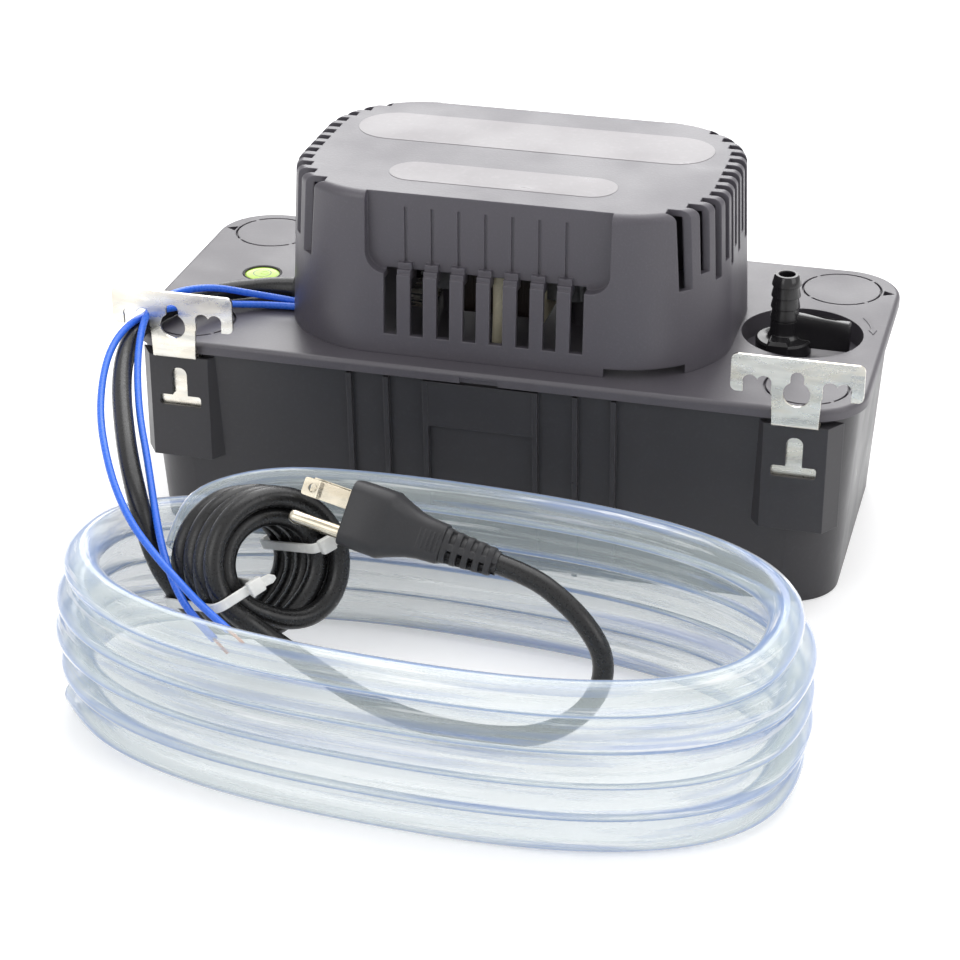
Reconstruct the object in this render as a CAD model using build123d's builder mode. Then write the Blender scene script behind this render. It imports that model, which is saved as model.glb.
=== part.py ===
from build123d import *
import math
import os

os.makedirs("parts", exist_ok=True)

# ---------------------------------------------------------------- driving dimensions, mm
# The pump stands on Z = 0. X runs along the tank, +Y to its back, and the hose end of the deck is +X.

# deck (the tank's cover)
deck_length = 290.0
deck_depth = 139.0
deck_corner = 23.0
deck_top = 85.0
deck_plate = 3.0
rim_height = 4.5
rim_round = 1.8
rim_width = 6.0
lip_wall = 1.8
lip_drop = 6.0

# tank
tank_set_in = 3.0
tank_draft = 3.2
tank_wall = 2.5
tank_floor = 3.0
rib_width = 2.0
rib_depth = 2.0
rib_offsets = (21.6, 37.2, 52.0)
panel_foot = 60.0
panel_depth = 1.8
fit = 0.3
running_fit = 0.05

# hanger brackets and their pockets
bracket_offset = 121.0
sheet = 1.2
hanger_stand = 2.5
hanger_width = 49.0
hanger_top = 106.8
hanger_corner = 5.5
leg_width = 4.6
leg_foot = 92.0
scallop_top = 99.0
neck_width = 19.0
tongue_width = 17.4
tongue_foot = 44.0
keyhole_centre = 92.9
keyhole_radius = 5.1
keyhole_slot = 5.1
keyhole_top = 101.8
pocket_width = 24.0
pocket_flare = 5.0
pocket_foot = 35.0
pocket_face = 1.5
window_bar_width = 17.0
window_bar_foot = 57.0
window_bar_height = 4.6
window_stem_width = 6.2
window_top = 73.5

# motor hood
hood_length = 176.0
hood_depth = 115.0
hood_corner = 42.0
hood_height = 64.0
hood_draft = 2.6
hood_wall = 2.5
hood_edge = 3.4
hood_y = -2.5
recess_width = 95.0
recess_foot = 117.5
recess_corner = 8.0
recess_depth = 6.0
front_slots = 8
front_slot_shift = -1.2
front_slot_pitch = 10.4
front_slot_width = 5.2
front_slot_foot = 93.2
front_slot_top = 118.6
groove_width = 1.2
groove_depth = 0.7
groove_top = 143.5
end_slots = 13
end_slot_pitch = 7.4
end_slot_width = 4.3
end_slot_reach = 6.5
long_slot_foot = 118.2
short_slot_foot = 123.0
drip_notch_start = 46.0
drip_notch_width = 29.0
drip_notch_height = 3.5

# deck fittings
knockout_x = 121.5
knockout_y = 48.0
knockout_radius = 15.8
knockout_groove = 0.9
knockout_groove_depth = 1.4
knockout_web = 1.6
pry_notch = 5.0
level_x = -111.5
level_y = 4.0
level_radius = 8.0
level_height = 4.5
well_x = 112.4
well_y = 0.8
well_radius = 23.8
well_depth = 9.0
well_wall = 2.0

# check valve
valve_x = 105.0
valve_y = 2.0
barb_radius = 4.9
barb_ridge = 0.55
barb_ridges = 4
barb_top = 108.5
barb_bore = 3.1
valve_hub_radius = 8.8
valve_hub_top = 87.0
valve_stem_radius = 8.0
valve_stem_foot = 64.0
valve_chamber_radius = 5.4
valve_chamber_foot = 67.0
valve_seat_radius = 3.0
valve_arm_reach = 24.0
valve_arm_width = 5.0
valve_arm_foot = 79.0
valve_arm_top = 90.5
ball_radius = 4.2

# motor
shaft_x = 0.0
shaft_y = 14.0
shaft_radius = 3.0
shaft_top = 143.0
core_half_width = 32.0
core_front = -34.0
core_back = 46.0
core_foot = 103.0
core_height = 20.0
coil_leg_depth = 14.0
window_half_width = 20.0
window_depth = 14.0
rotor_radius = 12.8
air_gap = 0.5
rotor_height = 24.0
bobbin_length = 36.0
bobbin_wall = 1.2
bobbin_flange = 6.5
bearing_plate = 2.0
bearing_leg = 5.0
bush_radius = 5.0
bush_height = 7.0
screw_radius = 2.0
screw_spread_x = 26.0
screw_spread_y = 24.0
post_radius = 4.2
fan_radius = 25.0
fan_foot = 134.5
fan_height = 6.5
fan_blades = 8

# pump under the deck
column_radius = 11.0
column_bore = 8.0
volute_radius = 24.0
volute_wall = 2.5
volute_foot = 11.0
volute_height = 15.0
inlet_radius = 6.5
impeller_radius = 18.5
impeller_blades = 6
strainer_slots = 16
duct_radius = 5.8
duct_bore = 4.2
duct_height = 21.0
duct_bend = 14.0
socket_wall = 2.0

# float and switches
float_x = -66.0
float_length = 62.0
float_depth = 56.0
float_height = 20.0
float_foot = 16.0
float_round = 5.0
rod_radius = 3.0
rod_top = 97.0
guide_radius = 6.0
guide_foot = 62.0
switch_length = 20.0
switch_width = 6.4
switch_height = 10.0
switch_rise = 11.3
switch_gap_y = 6.0
lever_width = 4.4
lever_sheet = 0.8
lever_past = 6.0
lever_pin_radius = 0.8
bracket_face_x = -36.0
run_lever_height = 98.0
safety_lever_height = 100.0

# supply cord, leads, plug and hose
cord_radius = 3.75
cord_exit_y = -17.0
cord_exit_height = 89.3
lead_exit_y = -27.7
grommet_flange = 1.6
lead_radius = 1.4
tie_width = 3.6
tie_sheet = 1.2
cord_coil_radius = 28.0
cord_coil_bore = 14.0
cord_coil_length = 41.0
cord_coil_skew = 4.6
cord_coil_face = (-42.0, -176.5, 54.0)
cord_coil_axis = (0.635, -0.680, 0.366)
plug_face = (-19.2, -170.4, 75.2)
plug_axis = (0.976, -0.040, -0.215)
plug_side = (0.198, -0.878, 0.436)
plug_length = 35.0
plug_relief = 20.0
blade_spacing = 12.7
ground_offset = 11.9
blade_length = 17.5
hose_radius = 6.35
hose_layers = 5
hose_half_length = 126.5
hose_half_depth = 64.0
hose_fullness = 2.5
hose_centre_x = 13.0
hose_centre_y = -180.0
hose_turn = -3.0

# ---------------------------------------------------------------- derived places
tank_height = deck_top - rim_height
tank_run = tank_height * math.tan(math.radians(tank_draft))
tank_length = deck_length - 2 * tank_set_in
tank_depth = deck_depth - 2 * tank_set_in
tank_corner = deck_corner - tank_set_in
plate_foot = deck_top - deck_plate
tank_front = -tank_depth / 2
deck_front = -deck_depth / 2
tongue_back = tank_front + 0.1
tongue_front = tongue_back - sheet
pocket_inner = tongue_front - fit
pocket_front = pocket_inner - pocket_face
hanger_back = deck_front - hanger_stand
jog_height = tank_height - fit - sheet / 2
pocket_top = jog_height - sheet / 2 - 0.6
hood_top = deck_top + hood_height
hood_run = math.tan(math.radians(hood_draft))
core_top = core_foot + core_height
core_middle = core_foot + core_height / 2
lower_plate_top = core_foot - bearing_leg
upper_plate_foot = core_top + bearing_leg
upper_plate_top = upper_plate_foot + bearing_plate
volute_top = volute_foot + volute_height
well_floor = deck_top - well_depth
socket_foot = valve_stem_foot - 3.0
hose_height = hose_layers * 2 * hose_radius


def save(builder, name):
    """Labels a finished piece and writes it as its own node."""
    builder.part.label = name
    export_step(builder.part, f"parts/{name}.step")


def cord_radii(points):
    """The radius at each inner point of a cord's route: 0.45 of its shorter run over the half turn."""
    radii = []
    for before, here, after in zip(points, points[1:], points[2:]):
        run_in = Vector(*here) - Vector(*before)
        run_out = Vector(*after) - Vector(*here)
        half_turn = math.radians(run_in.get_angle(run_out)) / 2
        radii.append(0.45 * min(run_in.length, run_out.length) / math.tan(half_turn))
    return radii


def cord_tube(points, radius, name):
    """A cord laid along straight runs joined by tangent arcs."""
    radii = cord_radii(points)
    with BuildPart() as tube:
        with BuildLine() as route:
            FilletPolyline(*points, radius=radii)
        start = route.wires()[0]
        with BuildSketch(Plane(origin=start @ 0, z_dir=start % 0)):
            Circle(radius)
        sweep(path=start)
    section = math.pi * radius * radius
    share = tube.part.volume / (section * start.length)
    print(name, "radii", [round(r, 1) for r in radii], "length", round(start.length, 1), "fill", round(share, 4))
    save(tube, name)
    return start.length


# ---------------------------------------------------------------- tank
with BuildPart() as tank:
    with BuildSketch(Plane.XY):
        RectangleRounded(tank_length - 2 * tank_run, tank_depth - 2 * tank_run, tank_corner)
    with BuildSketch(Plane.XY.offset(tank_height)):
        RectangleRounded(tank_length, tank_depth, tank_corner)
    loft()
    # ribs and the raised centre panel follow the drafted front wall
    for offset_x in rib_offsets:
        for side in (-1, 1):
            with BuildSketch(Plane.YZ.offset(side * offset_x - rib_width / 2)):
                Polygon(
                    (tank_front - rib_depth, tank_height - fit - 1.0),
                    (tank_front + 1.0, tank_height - fit - 1.0),
                    (tank_front + tank_run + 1.0, 0),
                    (tank_front + tank_run - rib_depth, 0),
                    align=None,
                )
            extrude(amount=rib_width)
    panel_run = (tank_height - panel_foot) * math.tan(math.radians(tank_draft))
    with BuildSketch(Plane.YZ.offset(-rib_offsets[0] + rib_width / 2)):
        Polygon(
            (tank_front - panel_depth, tank_height - fit - 1.0),
            (tank_front + 1.0, tank_height - fit - 1.0),
            (tank_front + panel_run + 1.0, panel_foot),
            (tank_front + panel_run - panel_depth, panel_foot),
            align=None,
        )
    extrude(amount=2 * rib_offsets[0] - rib_width)
    # pockets for the hanger brackets, flared into the wall
    for side in (-1, 1):
        with BuildSketch(Plane.XY.offset(pocket_foot)):
            with Locations((side * bracket_offset, 0)):
                Polygon(
                    (-pocket_width / 2, pocket_front),
                    (pocket_width / 2, pocket_front),
                    (pocket_width / 2 + pocket_flare, tank_front + tank_run),
                    (-pocket_width / 2 - pocket_flare, tank_front + tank_run),
                    align=None,
                )
        extrude(amount=pocket_top - pocket_foot)
    # the inside, drafted like the outside
    with BuildSketch(Plane.XY.offset(tank_floor)):
        RectangleRounded(
            tank_length - 2 * (tank_run + tank_wall),
            tank_depth - 2 * (tank_run + tank_wall),
            tank_corner - tank_wall,
        )
    with BuildSketch(Plane.XY.offset(tank_height)):
        RectangleRounded(tank_length - 2 * tank_wall, tank_depth - 2 * tank_wall, tank_corner - tank_wall)
    loft(mode=Mode.SUBTRACT)
    for side in (-1, 1):
        # the pocket's slot, then the window in its face
        slot_foot = tongue_foot - 1.0
        with BuildSketch(Plane.XY.offset(slot_foot)):
            with Locations((side * bracket_offset, (pocket_inner + tongue_back + fit) / 2)):
                Rectangle(tongue_width + 2 * fit, tongue_back + fit - pocket_inner)
        extrude(amount=tank_height - slot_foot, mode=Mode.SUBTRACT)
        with BuildSketch(Plane.XZ.offset(-pocket_inner - 0.1)):
            with Locations((side * bracket_offset, window_bar_foot + window_bar_height / 2)):
                RectangleRounded(window_bar_width, window_bar_height, 1.2)
            with Locations((side * bracket_offset, (window_bar_foot + window_top) / 2)):
                RectangleRounded(window_stem_width, window_top - window_bar_foot, 2.9)
        extrude(amount=pocket_face + 1.0, mode=Mode.SUBTRACT)
save(tank, "tank")

# ---------------------------------------------------------------- deck
hood_wall_left = -hood_length / 2
with BuildPart() as tank_cover:
    with BuildSketch(Plane.XY.offset(tank_height)):
        RectangleRounded(deck_length, deck_depth, deck_corner)
    extrude(amount=rim_height)
    fillet(tank_cover.faces().sort_by(Axis.Z)[-1].edges(), rim_round)
    with BuildSketch(Plane.XY.offset(tank_height)):
        RectangleRounded(deck_length - 2 * rim_width, deck_depth - 2 * rim_width, deck_corner - rim_width)
    extrude(amount=rim_height - deck_plate, mode=Mode.SUBTRACT)
    # lip that seats inside the tank's wall
    lip_set_in = tank_set_in + tank_wall + fit + lip_drop * math.tan(math.radians(tank_draft))
    with BuildSketch(Plane.XY.offset(tank_height - lip_drop)):
        lip_length = deck_length - 2 * lip_set_in
        lip_depth = deck_depth - 2 * lip_set_in
        RectangleRounded(lip_length, lip_depth, deck_corner - lip_set_in)
        RectangleRounded(
            lip_length - 2 * lip_wall,
            lip_depth - 2 * lip_wall,
            deck_corner - lip_set_in - lip_wall,
            mode=Mode.SUBTRACT,
        )
    extrude(amount=plate_foot - tank_height + lip_drop)
    # well of the check valve, sunk through the plate
    with BuildSketch(Plane.XY.offset(well_floor - well_wall)):
        with Locations((well_x, well_y)):
            Circle(well_radius + well_wall)
    extrude(amount=plate_foot - well_floor + well_wall)
    with BuildSketch(Plane.XY.offset(well_floor)):
        with Locations((well_x, well_y)):
            Circle(well_radius)
    extrude(amount=well_depth + 1.0, mode=Mode.SUBTRACT)
    with BuildSketch(Plane.XY.offset(well_floor - well_wall)):
        with Locations((valve_x, valve_y)):
            Circle(valve_stem_radius + running_fit)
    extrude(amount=well_wall + 1.0, mode=Mode.SUBTRACT)
    # cup of the bubble level
    with BuildSketch(Plane.XY.offset(deck_top - level_height - 1.5)):
        with Locations((level_x, level_y)):
            Circle(level_radius + 1.6)
    extrude(amount=plate_foot - deck_top + level_height + 1.5)
    with BuildSketch(Plane.XY.offset(deck_top - level_height)):
        with Locations((level_x, level_y)):
            Circle(level_radius + 0.1)
    extrude(amount=level_height + 1.0, mode=Mode.SUBTRACT)
    # four knockouts: a grooved ring with webs left standing, and a pry notch
    for side_x in (-1, 1):
        for side_y in (-1, 1):
            centre = (side_x * knockout_x, side_y * knockout_y)
            with BuildSketch(Plane.XY.offset(deck_top - knockout_groove_depth)):
                with Locations(centre):
                    Circle(knockout_radius + knockout_groove / 2)
                    Circle(knockout_radius - knockout_groove / 2, mode=Mode.SUBTRACT)
                    with Locations(Rotation(0, 0, 45)):
                        Rectangle(2 * knockout_radius + 4, knockout_web, mode=Mode.SUBTRACT)
                        Rectangle(knockout_web, 2 * knockout_radius + 4, mode=Mode.SUBTRACT)
                with Locations((centre[0] + side_x * (knockout_radius + pry_notch / 2), centre[1])):
                    Triangle(a=pry_notch, b=pry_notch, C=60, rotation=-90 * side_x)
            extrude(amount=knockout_groove_depth + 1.0, mode=Mode.SUBTRACT)
    # posts that carry the motor, and its shaft's opening
    with BuildSketch(Plane.XY.offset(deck_top)):
        with Locations((shaft_x, shaft_y)):
            with GridLocations(2 * screw_spread_x, 2 * screw_spread_y, 2, 2):
                Circle(post_radius)
    extrude(amount=lower_plate_top - bearing_plate - deck_top)
    with BuildSketch(Plane.XY.offset(plate_foot)):
        with Locations((shaft_x, shaft_y)):
            with GridLocations(2 * screw_spread_x, 2 * screw_spread_y, 2, 2):
                Circle(screw_radius + 0.05)
            Circle(shaft_radius + 1.0)
    extrude(amount=lower_plate_top - plate_foot, mode=Mode.SUBTRACT)
    # guide tube of the float's rod
    with BuildSketch(Plane.XY.offset(guide_foot)):
        with Locations((float_x, 0)):
            Circle(guide_radius)
    extrude(amount=deck_top + 2.0 - guide_foot)
    with BuildSketch(Plane.XY.offset(guide_foot)):
        with Locations((float_x, 0)):
            Circle(rod_radius + running_fit)
    extrude(amount=deck_top + 3.0 - guide_foot, mode=Mode.SUBTRACT)
    # latch slot in the front rim
    with BuildSketch(Plane.XZ.offset(-deck_front - 1.2)):
        with Locations((0, tank_height + 1.1)):
            Rectangle(15, 2.2)
    extrude(amount=2.0, mode=Mode.SUBTRACT)
save(tank_cover, "tank_cover")

# ---------------------------------------------------------------- motor hood
panel_plane = hood_depth / 2 - recess_depth
hood_foot = Plane((0, hood_y, deck_top))


def end_slot_places():
    """Y from the hood's middle, X of the wall and foot of each slot at one end of the hood."""
    straight = hood_depth / 2 - hood_corner
    corner = hood_corner - hood_height * hood_run
    places = []
    for i in range(end_slots):
        y = (i - (end_slots - 1) / 2) * end_slot_pitch
        past = max(0.0, abs(y) - straight)
        x = hood_length / 2 - hood_corner + math.sqrt(corner ** 2 - past ** 2)
        places.append((y, x, long_slot_foot if i % 2 == 0 else short_slot_foot))
    return places


def hood_front(distance):
    """The upright plane, facing the front, that lies at this Y from the hood's middle."""
    return Plane.XZ.offset(-hood_y - distance)


with BuildPart() as hood_cavity:
    with BuildSketch(hood_foot):
        RectangleRounded(hood_length - 2 * hood_wall, hood_depth - 2 * hood_wall, hood_corner - hood_wall)
    extrude(amount=hood_height - hood_wall, taper=hood_draft)
    for side in (-1, 1):
        with BuildSketch(hood_foot.offset(recess_foot - hood_wall - deck_top)):
            with Locations((0, side * (panel_plane - hood_wall + 10))):
                Rectangle(recess_width + 2 * hood_wall, 20)
        extrude(amount=hood_height, mode=Mode.SUBTRACT)

with BuildPart() as motor_cover:
    with BuildSketch(hood_foot):
        RectangleRounded(hood_length, hood_depth, hood_corner)
    extrude(amount=hood_height, taper=hood_draft)
    fillet(motor_cover.faces().sort_by(Axis.Z)[-1].edges(), hood_edge)
    # recessed panel at the front and at the back, open at the top
    for side in (-1, 1):
        with BuildSketch(hood_front(side * panel_plane)):
            with Locations((0, recess_foot + hood_height / 2)):
                RectangleRounded(recess_width, hood_height, recess_corner)
        extrude(amount=-side * 20, mode=Mode.SUBTRACT)
    add(hood_cavity.part, mode=Mode.SUBTRACT)
    for side in (-1, 1):
        # two-step ledge over each rib between the slots
        for depth, foot in ((3.8, recess_foot - 0.5), (2.0, recess_foot + 1.8)):
            with BuildSketch(hood_foot.offset(foot - deck_top)):
                with Locations((front_slot_shift, side * (panel_plane + depth / 2 - 0.2))):
                    with GridLocations(front_slot_pitch, 1, front_slots - 1, 1):
                        Rectangle(front_slot_pitch - front_slot_width, depth + 0.4)
            extrude(amount=2.4)
        # slots through the wall
        with BuildSketch(hood_front(side * (panel_plane - hood_wall - 1))):
            with Locations((front_slot_shift, (front_slot_foot + front_slot_top) / 2)):
                with GridLocations(front_slot_pitch, 1, front_slots, 1):
                    Rectangle(front_slot_width, front_slot_top - front_slot_foot)
        extrude(amount=-side * 20, mode=Mode.SUBTRACT)
        # grooves up the panel
        with BuildSketch(hood_front(side * (panel_plane - groove_depth))):
            with Locations((front_slot_shift, (recess_foot + 4.0 + groove_top) / 2)):
                with GridLocations(front_slot_pitch, 1, front_slots - 1, 1):
                    Rectangle(groove_width, groove_top - recess_foot - 4.0)
        extrude(amount=-side * 3, mode=Mode.SUBTRACT)
    # slots round both ends, cut over the top edge and down the wall, long and short in turn
    for y, x, foot in end_slot_places():
        with BuildSketch(hood_foot.offset(foot - deck_top)):
            for side in (-1, 1):
                with Locations((side * (x + end_slot_reach), y)):
                    Rectangle(4 * end_slot_reach, end_slot_width)
        extrude(amount=hood_top - foot + 1, mode=Mode.SUBTRACT)
    # drip notch in the front foot, and the openings for the supply cord and the leads
    with BuildSketch(hood_foot):
        with Locations((drip_notch_start + drip_notch_width / 2, -hood_depth / 2)):
            Rectangle(drip_notch_width, 30)
    extrude(amount=drip_notch_height, mode=Mode.SUBTRACT)
    with BuildSketch(Plane.YZ.offset(hood_wall_left - 5)):
        with Locations((cord_exit_y, cord_exit_height)):
            Circle(cord_radius + 1.0)
        with Locations((cord_exit_y, (cord_exit_height + deck_top) / 2)):
            Rectangle(2 * cord_radius + 2.0, cord_exit_height - deck_top)
        with Locations((lead_exit_y, deck_top + 2.0)):
            Rectangle(9.0, 4.0)
    extrude(amount=12, mode=Mode.SUBTRACT)
save(motor_cover, "motor_cover")

# ---------------------------------------------------------------- bubble level
with BuildPart() as level_vial:
    with BuildSketch(Plane.XY.offset(deck_top - level_height)):
        with Locations((level_x, level_y)):
            Circle(level_radius)
    extrude(amount=level_height)
    fillet(level_vial.faces().sort_by(Axis.Z)[-1].edges(), 0.8)
save(level_vial, "level_vial")

# ---------------------------------------------------------------- hanger brackets
for name, side in (("hanger_bracket_left", -1), ("hanger_bracket_right", 1)):
    centre_x = side * bracket_offset
    notch_outer = hanger_width / 2 - leg_width
    notch_width = notch_outer - neck_width / 2
    lobe = notch_width / 4 + 0.2
    with BuildPart() as hanger:
        with BuildSketch(Plane.XZ.offset(-hanger_back)):
            with Locations((centre_x, (hanger_top + leg_foot) / 2)):
                RectangleRounded(hanger_width, hanger_top - leg_foot, leg_width / 2)
            with Locations((centre_x, hanger_top - hanger_corner)):
                Rectangle(hanger_width - 2 * hanger_corner, 2 * hanger_corner)
            # two lobes of the notch on each side of the neck
            for notch_side in (-1, 1):
                notch_x = centre_x + notch_side * (neck_width / 2 + notch_width / 2)
                with Locations((notch_x, (leg_foot - 1 + scallop_top - lobe) / 2)):
                    Rectangle(notch_width, scallop_top - lobe - leg_foot + 1, mode=Mode.SUBTRACT)
                with Locations((notch_x - notch_width / 4, scallop_top - lobe)):
                    Circle(lobe, mode=Mode.SUBTRACT)
                with Locations((notch_x + notch_width / 4, scallop_top - lobe)):
                    Circle(lobe, mode=Mode.SUBTRACT)
        extrude(amount=sheet)
        with BuildSketch(Plane.XZ.offset(-hanger_back)):
            with Locations((centre_x, 0)):
                Polygon(
                    (-neck_width / 2, scallop_top),
                    (neck_width / 2, scallop_top),
                    (tongue_width / 2, jog_height + 2.0),
                    (-tongue_width / 2, jog_height + 2.0),
                    align=None,
                )
        extrude(amount=sheet)
        # the neck turns in under the rim and down behind the pocket's face
        with BuildSketch(Plane.YZ.offset(centre_x - tongue_width / 2)):
            with BuildLine():
                FilletPolyline(
                    (hanger_back - sheet / 2, jog_height + 3.0),
                    (hanger_back - sheet / 2, jog_height),
                    (tongue_back - sheet / 2, jog_height),
                    (tongue_back - sheet / 2, tongue_foot),
                    radius=1.0,
                )
            trace(line_width=sheet)
        extrude(amount=tongue_width)
        # keyhole
        with BuildSketch(Plane.XZ.offset(-hanger_back + sheet + 1)):
            with Locations((centre_x, keyhole_centre)):
                Circle(keyhole_radius)
            with Locations((centre_x, (keyhole_centre + keyhole_top) / 2)):
                RectangleRounded(keyhole_slot, keyhole_top - keyhole_centre, keyhole_slot / 2 - 0.05)
        extrude(amount=-sheet - 3, mode=Mode.SUBTRACT)
    save(hanger, name)

# ---------------------------------------------------------------- motor
leg_middle_y = core_front + coil_leg_depth / 2
with BuildPart() as stator_core:
    with BuildSketch(Plane.XY.offset(core_foot)):
        with Locations((0, (core_front + core_back) / 2)):
            RectangleRounded(2 * core_half_width, core_back - core_front, 3)
        with Locations((0, core_front + coil_leg_depth + window_depth / 2)):
            Rectangle(2 * window_half_width, window_depth, mode=Mode.SUBTRACT)
        with Locations((shaft_x, shaft_y)):
            Circle(rotor_radius + air_gap, mode=Mode.SUBTRACT)
            with GridLocations(2 * screw_spread_x, 2 * screw_spread_y, 2, 2):
                Circle(screw_radius + 0.05, mode=Mode.SUBTRACT)
        with Locations((shaft_x, shaft_y - rotor_radius - 4)):
            Rectangle(2.0, 10, mode=Mode.SUBTRACT)
    extrude(amount=core_height)
save(stator_core, "stator_core")

with BuildPart() as coil_bobbin:
    with BuildSketch(Plane.YZ.offset(-bobbin_length / 2)):
        with Locations((leg_middle_y, core_middle)):
            RectangleRounded(coil_leg_depth + 2 * bobbin_wall + 0.4, core_height + 2 * bobbin_wall + 0.4, 1.5)
    extrude(amount=bobbin_length)
    for foot in (-bobbin_length / 2, bobbin_length / 2 - bobbin_wall):
        with BuildSketch(Plane.YZ.offset(foot)):
            with Locations((leg_middle_y, core_middle)):
                RectangleRounded(
                    coil_leg_depth + 2 * bobbin_wall + 2 * bobbin_flange,
                    core_height + 2 * bobbin_wall + 2 * bobbin_flange,
                    3,
                )
        extrude(amount=bobbin_wall)
    with BuildSketch(Plane.YZ.offset(-bobbin_length / 2)):
        with Locations((leg_middle_y, core_middle)):
            Rectangle(coil_leg_depth + 0.4, core_height + 0.4)
    extrude(amount=bobbin_length, mode=Mode.SUBTRACT)
save(coil_bobbin, "coil_bobbin")

winding_length = bobbin_length - 2 * bobbin_wall
with BuildPart() as motor_winding:
    with BuildSketch(Plane.YZ.offset(-winding_length / 2)):
        with Locations((leg_middle_y, core_middle)):
            RectangleRounded(
                coil_leg_depth + 2 * bobbin_wall + 2 * bobbin_flange - 2,
                core_height + 2 * bobbin_wall + 2 * bobbin_flange - 2,
                4,
            )
            RectangleRounded(
                coil_leg_depth + 2 * bobbin_wall + 0.4,
                core_height + 2 * bobbin_wall + 0.4,
                1.5,
                mode=Mode.SUBTRACT,
            )
    extrude(amount=winding_length)
save(motor_winding, "motor_winding")

with BuildPart() as motor_rotor:
    with BuildSketch(Plane.XY.offset(core_middle - rotor_height / 2)):
        with Locations((shaft_x, shaft_y)):
            Circle(rotor_radius)
            Circle(shaft_radius, mode=Mode.SUBTRACT)
    extrude(amount=rotor_height)
save(motor_rotor, "motor_rotor")

with BuildPart() as motor_shaft:
    with BuildSketch(Plane.XY.offset(volute_foot + 3.5)):
        with Locations((shaft_x, shaft_y)):
            Circle(shaft_radius)
    extrude(amount=shaft_top - volute_foot - 3.5)
    chamfer(motor_shaft.edges().filter_by(GeomType.CIRCLE), 0.5)
save(motor_shaft, "motor_shaft")

for name, plate_z, leg_z in (
    ("lower_bearing_bracket", lower_plate_top - bearing_plate, lower_plate_top),
    ("upper_bearing_bracket", upper_plate_foot, core_top),
):
    with BuildPart() as bearing_bracket:
        with BuildSketch(Plane.XY.offset(plate_z)):
            with Locations((shaft_x, shaft_y)):
                for turn in (-1, 1):
                    angle = turn * math.degrees(math.atan2(screw_spread_y, screw_spread_x))
                    SlotCenterToCenter(2 * math.hypot(screw_spread_x, screw_spread_y), 12, rotation=angle)
                Circle(14)
        extrude(amount=bearing_plate)
        with BuildSketch(Plane.XY.offset(leg_z)):
            with Locations((shaft_x, shaft_y)):
                with GridLocations(2 * screw_spread_x, 2 * screw_spread_y, 2, 2):
                    Circle(post_radius)
        extrude(amount=bearing_leg)
        with BuildSketch(Plane.XY.offset(min(plate_z, leg_z) - 1)):
            with Locations((shaft_x, shaft_y)):
                with GridLocations(2 * screw_spread_x, 2 * screw_spread_y, 2, 2):
                    Circle(screw_radius + 0.05)
                Circle(bush_radius)
        extrude(amount=bearing_leg + bearing_plate + 2, mode=Mode.SUBTRACT)
    save(bearing_bracket, name)

for name, plate_z in (
    ("lower_bush", lower_plate_top - bearing_plate),
    ("upper_bush", upper_plate_foot),
):
    with BuildPart() as bush:
        with BuildSketch(Plane.XY.offset(plate_z + bearing_plate / 2 - bush_height / 2)):
            with Locations((shaft_x, shaft_y)):
                Circle(bush_radius)
                Circle(shaft_radius + running_fit, mode=Mode.SUBTRACT)
        extrude(amount=bush_height)
    save(bush, name)

with BuildPart() as motor_screws:
    with BuildSketch(Plane.XY.offset(plate_foot + 0.5)):
        with Locations((shaft_x, shaft_y)):
            with GridLocations(2 * screw_spread_x, 2 * screw_spread_y, 2, 2):
                Circle(screw_radius)
    extrude(amount=upper_plate_top - plate_foot - 0.5)
    with BuildSketch(Plane.XY.offset(upper_plate_top)):
        with Locations((shaft_x, shaft_y)):
            with GridLocations(2 * screw_spread_x, 2 * screw_spread_y, 2, 2):
                RegularPolygon(3.6, 6)
    extrude(amount=2.4)
save(motor_screws, "motor_screws")

with BuildPart() as cooling_fan:
    with BuildSketch(Plane.XY.offset(fan_foot)):
        with Locations((shaft_x, shaft_y)):
            Circle(fan_radius)
            Circle(shaft_radius, mode=Mode.SUBTRACT)
    extrude(amount=1.2)
    with BuildSketch(Plane.XY.offset(fan_foot)):
        with Locations((shaft_x, shaft_y)):
            Circle(shaft_radius + 3)
            Circle(shaft_radius, mode=Mode.SUBTRACT)
    extrude(amount=fan_height)
    with BuildSketch(Plane.XY.offset(fan_foot + 1.0)):
        with Locations((shaft_x, shaft_y)):
            with PolarLocations((fan_radius + shaft_radius + 3) / 2, fan_blades):
                Rectangle(fan_radius - shaft_radius - 4.5, 1.4, rotation=14)
    extrude(amount=fan_height - 1.0)
save(cooling_fan, "cooling_fan")

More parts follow.
